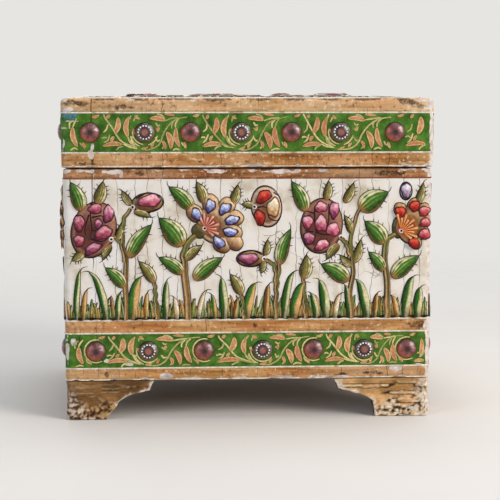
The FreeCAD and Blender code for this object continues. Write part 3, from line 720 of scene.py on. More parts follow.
def paste(layer, other, root, stretch=(1.0, 1.0), mirrored=False):
    """Add a copy of a finished layer to another, at a root point and stretched or mirrored."""
    if not other["points"]:
        return
    points = np.concatenate(other["points"])
    faces = np.concatenate(other["faces"]) + layer["count"]
    turn = -1 if mirrored else 1
    moved = points * (turn * stretch[0], stretch[1], 1.0) + (root[0], root[1], 0.0)
    layer["points"].append(moved)
    layer["faces"].append(faces[:, ::-1] if mirrored else faces)
    layer["paint"].append(np.concatenate(other["paint"]))
    layer["count"] += len(points)


def curve(path, count):
    """A smooth line through points, at a number of even steps."""
    path = np.array(path, dtype=float)
    held = np.vstack([2 * path[0] - path[1], path, 2 * path[-1] - path[-2]])
    at = np.linspace(0, len(path) - 1 - 1e-9, count)
    index = at.astype(int)
    part = (at - index)[:, None]
    a, b, c, d = held[index], held[index + 1], held[index + 2], held[index + 3]
    return 0.5 * (2 * b + (c - a) * part + (2 * a - 5 * b + 4 * c - d) * part ** 2
                  + (3 * b - a - 3 * c + d) * part ** 3)


def stroke(layer, path, half_width, rise, colour, rows=14, columns=7, ground=None):
    """A ribbon of gesso along a path. Width and height follow s, along, and t, across."""
    line = curve(path, rows)
    heading = np.gradient(line, axis=0)
    heading /= np.maximum(np.linalg.norm(heading, axis=1, keepdims=True), 1e-6)
    right = np.stack([heading[:, 1], -heading[:, 0]], axis=1)
    s = np.linspace(0, 1, rows)[:, None]
    t = np.linspace(-1, 1, columns)[None, :]
    wide = np.maximum(half_width(s), 0.03) * t
    flat = line[:, None, :] + right[:, None, :] * wide[..., None]
    s, t = np.broadcast_arrays(s, t)
    out = rise(s, t) if ground is None else rise(s, t) + ground(flat)
    lay(layer, np.concatenate([flat, out[..., None]], axis=-1), colour(s, t))
    return line, right


# Outlines are dark brown, and the edge of a raised shape is sunk a little into the board
OUTLINE, SUNK = "#1b1008", -0.12


def outlined(colours, gap, line=0.7):
    """Colours with a dark brushed outline. Gap is the distance to the edge in mm."""
    return tint(colours, OUTLINE, 1 - step(0.6 * line, line, gap))


def pillow(gap, top, soft=1.2):
    """Height of a swell of gesso, from its distance to the edge in mm, with a thin painted rim."""
    return top * np.sqrt(step(0.2, soft, gap)) + np.where(gap < 0.02, SUNK, 0.05)


def hair(layer, start, way, long, wide, curl):
    """One dark bristle, curled to one side."""
    bent = np.array((way[1], -way[0])) * curl * long
    stroke(layer, [start, start + way * long * 0.55 + bent * 0.25, start + way * long + bent],
           lambda s: wide * (1 - 0.8 * s), lambda s, t: 0.22 - 0.3 * abs(t),
           lambda s, t: tint(OUTLINE, "#3a2612", 0.5 * s), rows=6, columns=3)


LEAF_GREEN = ("#122408", "#2a5216", "#4c8429", "#e6e0b4", "#8a6234")
LEAF_OLIVE = ("#26230c", "#565022", "#8f8644", "#e6dcb2", "#6d4c26")


def leaf(layer, base, tip, width, light=1, tones=LEAF_GREEN, top=0.9):
    """A pointed leaf, dark on one side and cream on the other, with fanned veins and bristles."""
    base, tip = np.array(base, dtype=float), np.array(tip, dtype=float)
    length = np.linalg.norm(tip - base)
    ahead = (tip - base) / length
    right = np.array((ahead[1], -ahead[0]))
    middle = (base + tip) / 2 + right * light * 0.05 * length
    dark, mid, bright, pale, tan = tones

    def spread(s):
        return (0.55 * width + 0.2) * np.clip(s, 0, 1) ** 0.56 * np.clip(1 - s, 0, 1) ** 0.92 / 0.3747

    def rise(s, t):
        half = spread(s)
        body = np.clip(half / 1.3, 0.1, 1)
        return pillow((1 - abs(t)) * half, top * body) - 0.14 * body * np.exp(-(t / 0.1) ** 2)

    def colour(s, t):
        toward = t * light
        blotch = np.sin(19 * s + 6 * t + base[0]) * np.sin(13 * t - 8 * s + base[1])
        body = tint(dark, mid, step(-0.95, -0.2, toward + 0.2 * blotch))
        body = tint(body, bright, 0.9 * np.exp(-((toward - 0.15) / 0.45) ** 2) * step(0.06, 0.3, s)
                    * (1 - step(0.72, 0.98, s)) * (0.75 + 0.25 * blotch))
        fan = np.cos(19.0 * t * (1.15 - 0.5 * s) + base[0])
        veins = step(0.7, 0.98, fan) * step(-0.4, 0.1, toward) * (1 - step(0.5, 0.95, s))
        body = tint(body, "#d8d290", 0.55 * veins)
        ribs = step(0.1, 0.8, fan) * step(-0.5, 0.3, toward) * (1 - step(0.1, 0.42, s))
        body = tint(body, "#c39a55", 0.75 * ribs)
        feather = 0.12 * fan + 0.08 * np.sin(21 * s + base[0])
        rim = step(0.40, 0.64, toward + 1.5 * feather) * step(0.03, 0.16, s) * (1 - step(0.66, 0.94, s))
        body = tint(body, pale, 0.85 * rim)
        body = tint(body, mid, 0.55 * rim * step(0.5, 0.9, -fan))
        body = tint(body, tan, 0.75 * (1 - step(-0.84, -0.6, toward)) * (1 - step(0.5, 0.95, s)))
        body = tint(body, "#a0703c", 0.85 * (1 - step(0.03, 0.22, s)))
        return outlined(body, (1 - abs(t)) * spread(s), 0.52)

    line, across = stroke(layer, [base, middle, tip], spread, rise, colour, rows=30, columns=33)
    hair(layer, tip - ahead * 0.7, ahead, 0.1 * length + 1.2, 0.34, 0.5 * light)
    for side, places in ((light, (0.5, 0.64, 0.78)), (-light, (0.58, 0.76))):
        for at in places:
            row = int(at * 29)
            edge = line[row] + across[row] * side * spread(np.array(at)) * 0.9
            way = across[row] * side * 0.65 + ahead * 0.8
            hair(layer, edge, way / np.linalg.norm(way), 1.35, 0.29, 0.35 * side)


def stem(layer, path, wide=1.3):
    """A raised stalk: tan and olive with dark sides, wavering and thinner towards its end."""
    path = curve(path, 13)
    path[1:-1, 0] += 0.28 * np.sin(np.arange(1, 12) * 2.1 + path[0, 1])

    def spread(s):
        return wide * (1 - 0.32 * s)

    def colour(s, t):
        # Painted light and shade: a pale highlight stripe beside the middle, painted shade over one side,
        # and a fainter pale stripe on that side
        body = tint("#564a22", "#8c6638", step(-0.2, 0.6, np.sin(9 * s + 1.0)))
        body = tint(body, "#d9bd8c", 0.7 * np.exp(-((t + 0.3) / 0.18) ** 2))
        body = tint(body, "#36280c", 0.85 * step(0.1, 0.5, t))
        body = tint(body, "#476a24", 0.6 * step(0.2, 0.9, np.sin(6 * s + 4.0)))
        body = tint(body, "#c9a870", 0.5 * np.exp(-((t - 0.62) / 0.14) ** 2))
        return outlined(body, (1 - abs(t)) * spread(s), 0.5)

    stroke(layer, path, spread, lambda s, t: pillow((1 - abs(t)) * spread(s), 0.7, 0.8), colour,
           rows=40, columns=13)


def dome(layer, centre, radii, turn, rise, colour, egg=0.0, wave=0.0, rings=9, spokes=28, ground=None):
    """A rounded lump of gesso, egg-shaped if asked. Height and colour follow r and the angle."""
    r = np.linspace(0.02, 1, rings)[:, None]
    a = np.linspace(0, 2 * math.pi, spokes, endpoint=False)[None, :]
    wavy = r * (1 + wave * (np.sin(3 * a + 1.7 * centre[0]) + 0.6 * np.sin(5 * a + 2.9 * centre[1])))
    p = radii[0] * wavy * np.cos(a)
    q = radii[1] * wavy * np.sin(a) * (1 - egg * np.cos(a))
    cos, sin = math.cos(turn), math.sin(turn)
    flat = np.stack([centre[0] + p * cos - q * sin, centre[1] + p * sin + q * cos], axis=-1)
    r, a = np.broadcast_arrays(r, a)
    out = rise(r, a) if ground is None else rise(r, a) + ground(flat)
    lay(layer, np.concatenate([flat, out[..., None]], axis=-1), colour(r, a), closed=True)


def gem(layer, centre, radii, turn, tones, ground, egg=0.0, top=0.4):
    """A petal's glossy spot with a dark rim: painted light above and painted shade below, in loose strokes,
    and a pale streak of painted highlight.
    """
    pale, mid, deep, rim = tones
    small = min(radii)

    def colour(r, a):
        up, side = r * np.sin(a + turn), r * np.cos(a + turn)
        brush = np.sin(6.5 * (side + 0.4 * up) + 2.3 * centre[0]) * np.sin(4.0 * up + 1.9 * centre[1])
        body = tint(mid, pale, 0.85 * step(-0.1, 0.6, up + 0.5 * brush))
        body = tint(body, deep, 0.9 * step(0.0, 0.65, 0.45 * brush - up - 0.25 * side))
        # Painted highlight: a pale streak high on the spot
        painted_glint = np.exp(-((up - 0.35 - 0.3 * side) / 0.1) ** 2) * (1 - step(0.45, 0.7, r))
        body = tint(body, pale, 0.6 * painted_glint)
        return tint(body, rim, 1 - step(0.28, 0.7, (1 - r) * small))

    dome(layer, centre, radii, turn, lambda r, a: top * (1 - r ** 2.4) + 0.03, colour, egg, 0.09,
         rings=14, spokes=36, ground=ground)


def eye(layer, centre, ground):
    """The white ring with a dark dot where a flower meets its stalk."""
    dome(layer, centre, (1.15, 1.15), 0.0, lambda r, a: 0.3 * (1 - r ** 3) + 0.05,
         lambda r, a: tint(tint("#120d0b", "#ece7e2", step(0.40, 0.54, r)), OUTLINE, step(0.82, 0.92, r)),
         rings=9, spokes=20, ground=ground)


HEAD_TOP = 1.3


def flower_head(layer, spec):
    """A flower: its swelling ground, petals, folds and stamens, then the spots and the eye."""
    x, z, w, h, tilt = spec["head"]
    centre, radii = np.array((x, z)) * GRID, np.array((w, h)) * GRID / 2
    turn = math.radians(tilt)
    shade, mid, light = spec["tones"]
    small = min(radii)
    low_top = HEAD_TOP - 0.35 if "petals" in spec else HEAD_TOP

    def swell(flat):
        dx, dy = flat[..., 0] - centre[0], flat[..., 1] - centre[1]
        p = (dx * math.cos(turn) + dy * math.sin(turn)) / radii[0]
        q = (dy * math.cos(turn) - dx * math.sin(turn)) / radii[1]
        return pillow((1 - np.sqrt(p * p + q * q)) * small, low_top, 3.2)

    def colour(r, a):
        # Painted light and shade: the ground is painted lighter on one side, the upper right unless the
        # plant is mirrored, and shaded on the other
        side = np.sin(a + turn + 0.6)
        body = tint(mid, light, step(0.1, 0.9, r * side + 0.2))
        body = tint(body, shade, 0.7 * step(0.35, 0.9, r) * step(-0.3, 0.7, -side))
        body = tint(body, shade, 0.55 * (1 - step(0.15, 0.6, r)))
        body = tint(body, light, 0.8 * np.exp(-((r - 0.82) / 0.07) ** 2))
        return outlined(body, (1 - r) * small, 0.85)

    dome(layer, centre, radii, turn, lambda r, a: 0 * r, colour, rings=24, spokes=84, ground=swell)
    place = np.array(spec["eye"]) * GRID
    ground = swell
    if "calyx" in spec:
        cx, cz, across, up = np.array(spec["calyx"]) * GRID
        # Painted light: the calyx is painted lighter towards its upper right, unless the plant is mirrored
        dome(layer, (cx, cz), (across, up), 0.0, lambda r, a: pillow((1 - r) * across, 1.1, 2.0),
             lambda r, a: outlined(tint("#4a4424", "#857a48", step(-0.2, 0.7, r * np.sin(a + 0.8))),
                                   (1 - r) * across, 0.6), rings=14, spokes=36)
    for px, pz in spec.get("petals", ()):
        spot = np.array((px, pz)) * GRID
        away = spot - place
        lean = math.atan2(-away[1], -away[0])
        big = np.array((7.6, 6.2)) * GRID * spec.get("petal_size", 1.0)

        def petal_colour(r, a):
            body = tint(mid, light, step(-0.4, 0.6, r * np.sin(a + lean + 0.5)))
            body = tint(body, shade, 0.7 * step(0.2, 0.9, -r * np.sin(a + lean + 0.3)))
            return outlined(body, (1 - r) * big[1], 0.6)

        dome(layer, spot + away / np.linalg.norm(away) * 0.9, big, lean,
             lambda r, a: pillow((1 - r) * big[1], 1.25, 2.0), petal_colour, 0.1, 0.03, rings=16, spokes=40)
    if "petals" in spec:
        def ground(flat):
            return 1.2 + 0 * flat[..., 0]
    for path in spec.get("folds", ()):
        stroke(layer, np.array(path) * GRID, lambda s: 0.62 * (1 - 0.6 * s),
               lambda s, t: 0.12 - 0.2 * abs(t),
               lambda s, t: tint("#220d18", "#46222c", step(0.5, 1.0, abs(t))),
               rows=16, columns=5, ground=ground)
    if "rays" in spec:
        first, last, count, long, inner, outer = spec["rays"]
        facing = math.radians((first + last) / 2)
        fan = place + np.array((math.cos(facing), math.sin(facing))) * long * 0.45
        dome(layer, fan, (long * 0.72, long * 0.72), 0.0, lambda r, a: 0.25 * (1 - r ** 2) + 0 * a,
             lambda r, a: tint("#6d2415", "#9a6038", step(0.4, 1.0, r)), rings=8, ground=ground)
        for number in range(count):
            angle = math.radians(first + (last - first) * number / (count - 1))
            way = np.array((math.cos(angle), math.sin(angle)))
            reach = long * (1.12 if number % 2 else 0.86)
            start, end = place + way * 0.8, place + way * reach
            stroke(layer, [start, (start + end) / 2, end], lambda s: 0.26 + 0.34 * s,
                   lambda s, t: 0.42 - 0.35 * t * t,
                   lambda s, t: tint(tint(inner, outer, s), "#6d2415", step(0.6, 0.95, abs(t))),
                   rows=6, columns=7, ground=ground)
    for sx, sz, long, wide, lean, spot_tones in spec["spots"]:
        spot = np.array((sx, sz)) * GRID
        away = spot - place
        angle = math.atan2(-away[1], -away[0]) if lean is None else math.radians(lean)
        gem(layer, spot, np.array((long, wide)) * GRID, angle, spot_tones, ground,
            0.18 if lean is None else 0.0)
    if spec.get("open", True):
        eye(layer, place, ground)


# Spots as (pale, middle, deep, rim), with the pale painted as light above and the deep as shade below, and
# grounds as (shade, middle, light), painted shade and painted light on their two sides
PINK = ("#f4c4cc", "#cf6c84", "#84263f", "#3c1422")
DUSKY = ("#dc9ba6", "#ae4e64", "#6c1f34", "#38131d")
MAUVE = ("#dba0b2", "#a5506e", "#622440", "#35121f")
VIOLET = ("#e2e8f8", "#8a94ca", "#3e2c66", "#220c26")
SCARLET = ("#e2604c", "#b3271c", "#6e1210", "#340c0a")
ROSE_RED = ("#eba0a0", "#c64c56", "#862430", "#421317")
STRAW = ("#f6ead4", "#e2c398", "#b07c46", "#46280f")
LILAC = ("#ece4f0", "#b9a6be", "#7c6582", "#30222e")
ROSE_GROUND = ("#371614", "#6e3c30", "#a0705a")
BUD_GROUND = ("#38230e", "#74502c", "#aa8858")

# Plants on a panel's grid, each from its root. Leaves: base, tip, width and the lit side. Heads:
# middle, width, height and tilt. Their spots: middle, half sizes, tilt (none for one that points
# at the eye) and colours; their rays: first and last angle, how many, length and colours.
PLANTS = {
    "rose_spray": {
        "leaves": [(-30, 77, -38, 98, 10, 1), (-19.5, 82, -15, 98.5, 8, 1), (-29, 49, -38, 42, 6, -1),
                   (-10, 54, -16, 42, 5.5, 1), (2, 44, 19, 68, 10, -1), (0, 23, -14.5, 37.5, 9, 1),
                   (5, 81, -2, 92, 5, -1), (20.5, 26, 9, 42, 7.5, 1), (-6, 56, -2, 70, 5, 1),
                   (6, 77, 19, 72.5, 5, -1)],
        "stems": [[(0, 0), (0, 44), (-5, 57), (-9, 60)], [(0, 41), (-2, 56), (-1, 70), (4, 79)],
                  [(22, 0), (21, 16), (20.5, 27)]],
        "heads": [
            {"head": (-22, 64, 32, 42, -20), "tones": ROSE_GROUND, "eye": (-9.6, 57.5), "spots": [
                (-32, 69, 4.2, 6.4, 0, DUSKY), (-20.5, 79, 5.2, 3.9, 10, DUSKY),
                (-11.4, 75.5, 4.0, 6.8, -8, MAUVE), (-18.5, 68.5, 2.9, 4.2, -8, MAUVE),
                (-15, 62, 7.0, 4.7, 28, DUSKY),
                (-32, 56.6, 4.0, 4.6, 0, DUSKY), (-22.5, 51, 7.0, 3.8, 32, MAUVE)],
             "folds": [[(-23, 84), (-24, 74), (-23, 64), (-25, 58)], [(-25, 75), (-28, 64), (-25, 57)],
                       [(-23, 64), (-20, 63), (-22, 58)], [(-24, 58), (-17, 56), (-12, 58)],
                       [(-23, 73), (-16, 74), (-15, 70)]]},
            {"head": (16, 83, 24, 15, 5), "tones": BUD_GROUND, "eye": (5.5, 80), "spots": [
                (17.5, 84.5, 8.6, 4.6, 8, PINK)],
             "folds": [[(7, 77.5), (15, 76.5), (24, 79)], [(8, 86), (16, 90), (25, 88)]]}]},
    "daisy_spray": {
        "stalk": 1.75,
        "leaves": [(3.5, 78, -13.5, 94.5, 10, 1), (-3.5, 52, -20.5, 72.5, 14, 1),
                   (-3, 32.5, -21, 44.5, 9, 1), (4, 28, 25, 44, 10.5, -1), (12, 82, 6, 98, 7.5, 1),
                   (31, 81, 35.5, 96, 6.5, 1), (-2, 42, 10.5, 53, 6.5, -1)],
        "stems": [[(0, 0), (-2, 34), (-3, 44), (-2, 50), (4, 59), (12, 62)]],
        "heads": [
            {"head": (20, 68, 28, 30, 15), "tones": ("#3e2412", "#8c6242", "#dab88c"), "eye": (12, 65),
             "calyx": (8.5, 63, 6.4, 6.0),
             "petals": [(6, 74), (31, 55.5), (22.5, 54.5), (30, 62), (31, 71), (26, 79), (15.5, 80.5)],
             "rays": (-42, 112, 9, 5.4, "#b9563a", "#e9b09c"), "spots": [
                (6.4, 74.6, 5.4, 3.6, None, VIOLET), (15.9, 80.5, 5.4, 3.6, None, VIOLET),
                (26, 78.6, 5.6, 3.6, None, VIOLET), (31, 70.6, 5.6, 3.6, None, VIOLET),
                (29.8, 62.2, 5.6, 3.6, None, VIOLET), (21.9, 55, 5.6, 3.6, None, VIOLET)]}]},
    "bud_spray": {
        "leaves": [(2, 38, 10.5, 64.5, 9, -1), (-8, 45, -6, 57, 5, 1), (-9, 42, -11, 32, 5, -1),
                   (-24.5, 17, -33, 32.5, 7.5, 1), (-15, 80, -25, 81.5, 5, 1)],
        "stems": [[(0, 0), (0, 18), (1, 28), (3, 41)], [(0, 22), (-1, 37), (-9, 43)],
                  [(-23, 0), (-23.5, 9), (-24.5, 18)]],
        "heads": [
            {"head": (-7, 80, 23, 31, 10), "tones": ("#4a2a1a", "#93694a", "#d2b49a"), "eye": (-15.5, 80),
             "spots": [(-9, 87, 6.4, 4.2, 38, SCARLET), (-11.8, 72, 4.0, 6.4, 8, SCARLET),
                       (-2.2, 79.5, 4.8, 7.2, -8, STRAW)],
             "folds": [[(-6, 77), (-5, 72), (0, 70), (3, 73)], [(-15, 79), (-10, 80), (-6, 79)],
                       [(-2, 90), (2, 87), (3, 83)]]},
            {"head": (-18, 43, 22, 13, 0), "tones": BUD_GROUND, "eye": (-8.5, 43), "spots": [
                (-19.8, 43.2, 7.8, 4.2, 0, MAUVE)],
             "folds": [[(-9, 40.5), (-16, 37.8), (-25, 39)], [(-10, 46), (-17, 48.8), (-25, 47)]]}]},
    "rose_branch": {
        "leaves": [(-33, 76, -43.5, 98, 10, 1), (-19, 84, -17, 98.5, 6, 1), (-34.5, 28, -32.5, 46, 8.4, 1),
                   (-9.5, 53.5, -18.5, 41.5, 6.5, 1), (-2, 26.5, -22.5, 39, 11.5, 1),
                   (5, 77, 26, 90, 14, -1), (-6, 82, 1, 97, 6, 1), (1, 37, -9, 45.5, 5.5, -1),
                   (1, 39, 6.5, 57, 6, 1), (0, 60, -6, 74, 5.5, 1)],
        "stems": [[(0, 0), (-1, 19), (1, 37), (-1, 50), (1, 67), (6, 79)],
                  [(-1, 44), (-4, 53), (-9, 58)], [(-33, 0), (-34, 14), (-34.5, 30)]],
        "heads": [
            {"head": (-22, 66, 31, 41, -8), "tones": ROSE_GROUND, "eye": (-8, 58), "spots": [
                (-22.5, 79.5, 4.8, 4.1, 10, PINK), (-13, 77.5, 4.0, 6.4, -10, MAUVE),
                (-32, 69, 4.1, 5.2, 0, PINK), (-22.4, 68, 4.6, 6.4, 0, PINK),
                (-13.8, 63.5, 5.0, 5.2, 28, PINK),
                (-31, 57.4, 4.2, 4.9, 10, MAUVE), (-21.8, 52.6, 6.2, 3.9, 32, PINK)],
             "folds": [[(-27, 80), (-27, 70), (-26, 62), (-28, 53)], [(-17, 82), (-17, 72), (-18, 64)],
                       [(-26, 62), (-20, 60), (-10, 60)], [(-28, 62), (-34, 63)],
                       [(-27, 75), (-33, 77)]]}]},
    "small_daisy": {
        "stalk": 1.6,
        "leaves": [(-2, 53, -17, 69.5, 12, 1), (-2, 33.5, -14, 47.5, 8.5, 1), (3, 28.5, 23, 44.5, 11, -1),
                   (20, 80, 25, 97, 5.5, 1)],
        "stems": [[(0, 0), (0, 17), (-2, 50), (2, 58), (10, 62)]],
        "heads": [
            {"head": (12.5, 90.5, 10, 14, 0), "tones": ("#4a3a4a", "#b3a2ba", "#e4dcea"), "eye": (12, 84),
             "open": False, "spots": [(12.6, 91, 4.0, 5.8, 0, LILAC)]},
            {"head": (17.5, 67, 24, 30, -8), "tones": ("#3e2410", "#7c5630", "#c49a68"), "eye": (9.2, 62.5),
             "calyx": (7.0, 64.5, 4.6, 8.5),
             "petals": [(8.5, 75.5), (18, 55), (24, 60.5), (24.5, 68.5), (23.5, 76), (17.5, 79)],
             "petal_size": 0.8,
             "rays": (-38, 104, 10, 6.2, "#c8662c", "#f0b070"), "spots": [
                (8.6, 75.6, 4.5, 4.0, None, SCARLET), (18.4, 79.8, 4.4, 3.9, None, SCARLET),
                (25.2, 76.2, 4.2, 3.8, None, ROSE_RED), (26.0, 68.2, 4.0, 3.5, None, ROSE_RED),
                (25.6, 60, 4.4, 4.0, None, ROSE_RED), (18.4, 53.6, 4.6, 4.0, None, SCARLET)]}]},
}
# Leaves narrower than this are olive
OLIVE_UNDER = 8.5

greens, blooms = {}, {}
for name, plant in PLANTS.items():
    greens[name], blooms[name] = new_layer(), new_layer()
    for path in plant["stems"]:
        stem(greens[name], np.array(path) * GRID, plant.get("stalk", 1.3))
    for bx, bz, tx, tz, width, light in plant["leaves"]:
        tones = LEAF_OLIVE if width < OLIVE_UNDER else LEAF_GREEN
        leaf(greens[name], (bx * GRID, bz * GRID), (tx * GRID, tz * GRID), width * GRID, light, tones)
    for head in plant["heads"]:
        flower_head(blooms[name], head)

# Main blades along the foot of a panel, on its grid: root, tip, height, width and colour.
# A shorter panel has the middle ones.
GRASS = [
    (-122, -118.5, 36, 5, "green"), (-117, -114, 22, 3.5, "gold"), (-101, -113, 35, 5, "green"),
    (-93, -90.5, 20, 4, "green"), (-83, -76, 31, 6.5, "mixed"), (-73, -71.5, 20, 3.5, "gold"),
    (-59, -58, 28, 4.5, "green"), (-51, -53, 16, 4, "pale"), (-35.5, -29.5, 21, 3.5, "pale"),
    (-24, -26.5, 18, 3.5, "mixed"), (-17.5, -19.5, 30, 5.5, "green"), (-10, -7, 15, 4, "brown"),
    (-1.5, 5.5, 26, 6, "mixed"), (12, 14.5, 25, 4.5, "brown"), (25, 32.5, 34, 5, "green"),
    (32, 40, 26, 6.5, "mixed"), (48, 44, 18.5, 4.5, "green"), (55, 50, 28, 6, "green"),
    (61.5, 66, 18, 4, "pale"), (72, 68.5, 24, 4.5, "green"), (84, 76.5, 28, 6, "green"),
    (90, 92, 18, 4, "brown"), (106, 102, 16, 4, "gold"), (111.5, 118, 30, 6, "green"),
    (120.5, 123, 22, 6, "green")]
# An outline at least this wide is a bold one
BOLD_LINE = 0.4


def blade(layer, u, tall, lean, wide, tones, light, top, line=0.46):
    """A blade of grass, dark on one side and pale on the other; a boldly outlined one has a curling tip."""
    dark, mid, pale = tones

    def spread(s):
        return wide * (0.62 + 0.5 * np.sin(2.6 * s)) * np.clip(1 - s, 0, 1) ** 0.55

    def colour(s, t):
        body = tint(dark, mid, step(-0.8, -0.2, t * light))
        lit = 0.62 if line < BOLD_LINE else 0.95
        body = tint(body, pale, lit * step(0.0, 0.22, t * light + 0.12 * np.sin(9 * s + u)) * (1 - 0.3 * s))
        body = tint(body, "#261e08", 0.72 * (1 - step(0.0, 0.34, s)))
        return outlined(body, (1 - abs(t)) * spread(s), line)

    path = [(u, 0.2), (u + 0.16 * lean, tall * 0.42), (u + 0.55 * lean, tall * 0.82), (u + lean, tall)]
    stroke(layer, path, spread, lambda s, t: pillow((1 - abs(t)) * spread(s), top, 0.7), colour,
           rows=16, columns=11)
    if line < BOLD_LINE:
        return
    way = np.array((lean * 0.6, tall * 0.18))
    hair(layer, np.array(path[-1]) - way * 0.15, way / np.linalg.norm(way), 0.1 * tall + 0.6, 0.36,
         0.9 if lean > 0 else -0.9)


GRASS_TONES = {
    "green": ("#102208", "#2c6018", "#e2dcae"), "gold": ("#5c3814", "#a9763a", "#e2c486"),
    "mixed": ("#18360c", "#3c7626", "#ecb67a"), "brown": ("#2c1a0a", "#6c4c22", "#dcb070"),
    "pale": ("#6a5430", "#ccb688", "#f2ead6"), "olive": ("#1c1e08", "#4f591c", "#b5a254"),
}
# How far the mat of short blades reaches past the panel, round the corner
MAT_OVER = 1.5
# Two mats: pitch, lowest and highest, thinnest and thickest blade, outline and colours
GRASS_MATS = ((0.55, 3.5, 6.8, 0.75, 1.15, 0.3, ("brown", "olive", "green", "green", "gold")),
              (1.15, 5.0, 10.2, 0.8, 1.35, 0.38, ("green", "gold", "mixed", "olive", "green", "brown")))


def grow_grass(half_width, seed):
    """Brushed grass along the foot of a panel: close mats of short blades, dark roots and tall blades."""
    layer = new_layer()
    dice = random.Random(seed)
    mat_end = half_width + MAT_OVER
    for pitch, low, high, thin, thick, line, kinds in GRASS_MATS:
        for number in range(int(2 * mat_end / pitch)):
            u = -mat_end + pitch * (number + dice.uniform(0.1, 0.9))
            height = dice.uniform(low, high)
            lean = np.clip(u + dice.uniform(-0.25, 0.25) * height, -mat_end, mat_end) - u
            blade(layer, u, height, lean, dice.uniform(thin, thick), GRASS_TONES[dice.choice(kinds)],
                  dice.choice((-1, 1, 1)), dice.uniform(0.28, 0.45), line)
    stroke(layer, [(-mat_end, 0.6), (0, 0.6), (mat_end, 0.6)],
           lambda s: 0.6 + 0.3 * np.sin(211 * s), lambda s, t: 0.5 - 0.3 * t * t,
           lambda s, t: tint("#0c1204", "#2c2a0e", step(0.2, 0.9, np.sin(157 * s))),
           rows=int(half_width * 3), columns=5)
    for root, tip, tall, width, kind in GRASS:
        reach = min(width * GRID * 0.8, half_width - 0.3 - abs(root) * GRID)
        if reach > 1.0 and abs(tip) * GRID < half_width:
            blade(layer, root * GRID, tall * GRID, (tip - root) * GRID, reach, GRASS_TONES[kind], 1, 0.6)
    return layer


# Painted gesso under varnish: the brushed colours with a fine mottle, glossy on the swells.
BRUSH_MARK = 0.9
painted_gesso = brushed_coat("painted_gesso_under_varnish", BRUSH_MARK, (0.66, 1.22), 0.12, 0.7, {
    "Roughness": 0.2, "IOR": 1.5, "Specular IOR Level": 0.17}, detail=4.0, Roughness=0.6)

# The boards' upright corners are rounded to this radius
CORNER_R = 2.5


def onto(side, points, half_w, half_d, top):
    """Points (across, up, out) of a layer, put on a side of a block and bent round its corners."""
    u, v, out = points.T
    if side == "top":
        return np.stack([u, v, top + out], axis=1)
    half, deep = (half_w, half_d) if side in ("front", "back") else (half_d, half_w)
    flat = half - CORNER_R
    bend = np.clip(abs(u) - flat, 0, None) / CORNER_R
    along = np.where(bend > 0, np.sign(u) * (flat + (CORNER_R + out) * np.sin(bend)), u)
    away = deep - CORNER_R + (CORNER_R + out) * np.cos(bend)
    x, y = {"front": (along, -away), "back": (-along, away),
            "right": (away, along), "left": (-away, -along)}[side]
    return np.stack([x, y, v], axis=1)


def set_on(name, layers, block, body, stands_for=(), material=painted_gesso):
    """A piece from layers on one or more sides of a block, following its worn arrises."""
    half_w, half_d, _, high = block
    points, faces, paint, count = [], [], [], 0
    for side, layer in layers:
        own = np.concatenate(layer["points"])
        points.append(onto(side, own, half_w, half_d, high))
        faces.append(np.concatenate(layer["faces"]) + count)
        paint.append(np.concatenate(layer["paint"]))
        count += len(own)
    points = rub(np.concatenate(points), block)[0]
    paint = {"paint": np.clip(np.concatenate(paint), 0, 1)}
    return make_piece(name, points, np.concatenate(faces), paint, material, body, stands_for)


# Plants along each panel: name, root on the grid, and whether it is mirrored
FRONT_PLANTS = [("rose_spray", -87, False), ("daisy_spray", -43, False), ("bud_spray", 19.5, False),
                ("rose_branch", 73.5, False), ("small_daisy", 99, False)]
BACK_PLANTS = [(name, -root, not mirrored) for name, root, mirrored in FRONT_PLANTS]
LEFT_PLANTS = [("rose_spray", -50, False), ("daisy_spray", 4, False), ("small_daisy", 62, False)]
RIGHT_PLANTS = [("rose_branch", -42, False), ("bud_spray", -2, True), ("rose_spray", 50, True)]
TOP_PLANTS = [(name, -root, not mirrored) for name, root, mirrored in LEFT_PLANTS]
# Panels: plants, half width and foot of the grass in mm, stretch of the plants, and seed
PANELS = {
    "front": (FRONT_PLANTS, 71.9, PANEL_LOW, (1.0, 1.0), 11),
    "back": (BACK_PLANTS, 71.9, PANEL_LOW, (1.0, 1.0), 12),
    "left": (LEFT_PLANTS, 51.9, PANEL_LOW, (1.0, 1.0), 13),
    "right": (RIGHT_PLANTS, 51.9, PANEL_LOW, (1.0, 1.0), 14),
    "top": (TOP_PLANTS, 50.2, -30.2, (0.965, 1.056), 15),
}
for side, (plants, half_width, foot, stretch, seed) in PANELS.items():
    grass, greenery, flowers = new_layer(), new_layer(), new_layer()
    paste(grass, grow_grass(half_width, seed), (0, foot))
    for name, root, mirrored in plants:
        place = (root * GRID * stretch[0], foot)
        paste(greenery, greens[name], place, stretch, mirrored)
        paste(flowers, blooms[name], place, stretch, mirrored)
    body, block = ("lid", LID_BLOCK) if side == "top" else ("case", CASE_BLOCK)
    node = "lid_relief" if side == "top" else side + "_relief"
    for kind, layer in (("grass", grass), ("greenery", greenery), ("flowers", flowers)):
        set_on(side + "_" + kind, [(side, layer)], block, body, [node])

# Cream lines
# Thin raised lines of cream gesso that part the bands, run round the case and the lid
# with a fine brush and rubbed through in places.
LINE_HALF, CREAM_LINE = 0.42, "#e6dccb"
# The line under the panel is wider and set lower, and the one over it is thin and red-brown
FOOT_LINE_HALF, FOOT_LINE_DROP = 0.56, 0.3
HEAD_LINE_HALF, HEAD_LINE = 0.34, "#8a4a30"


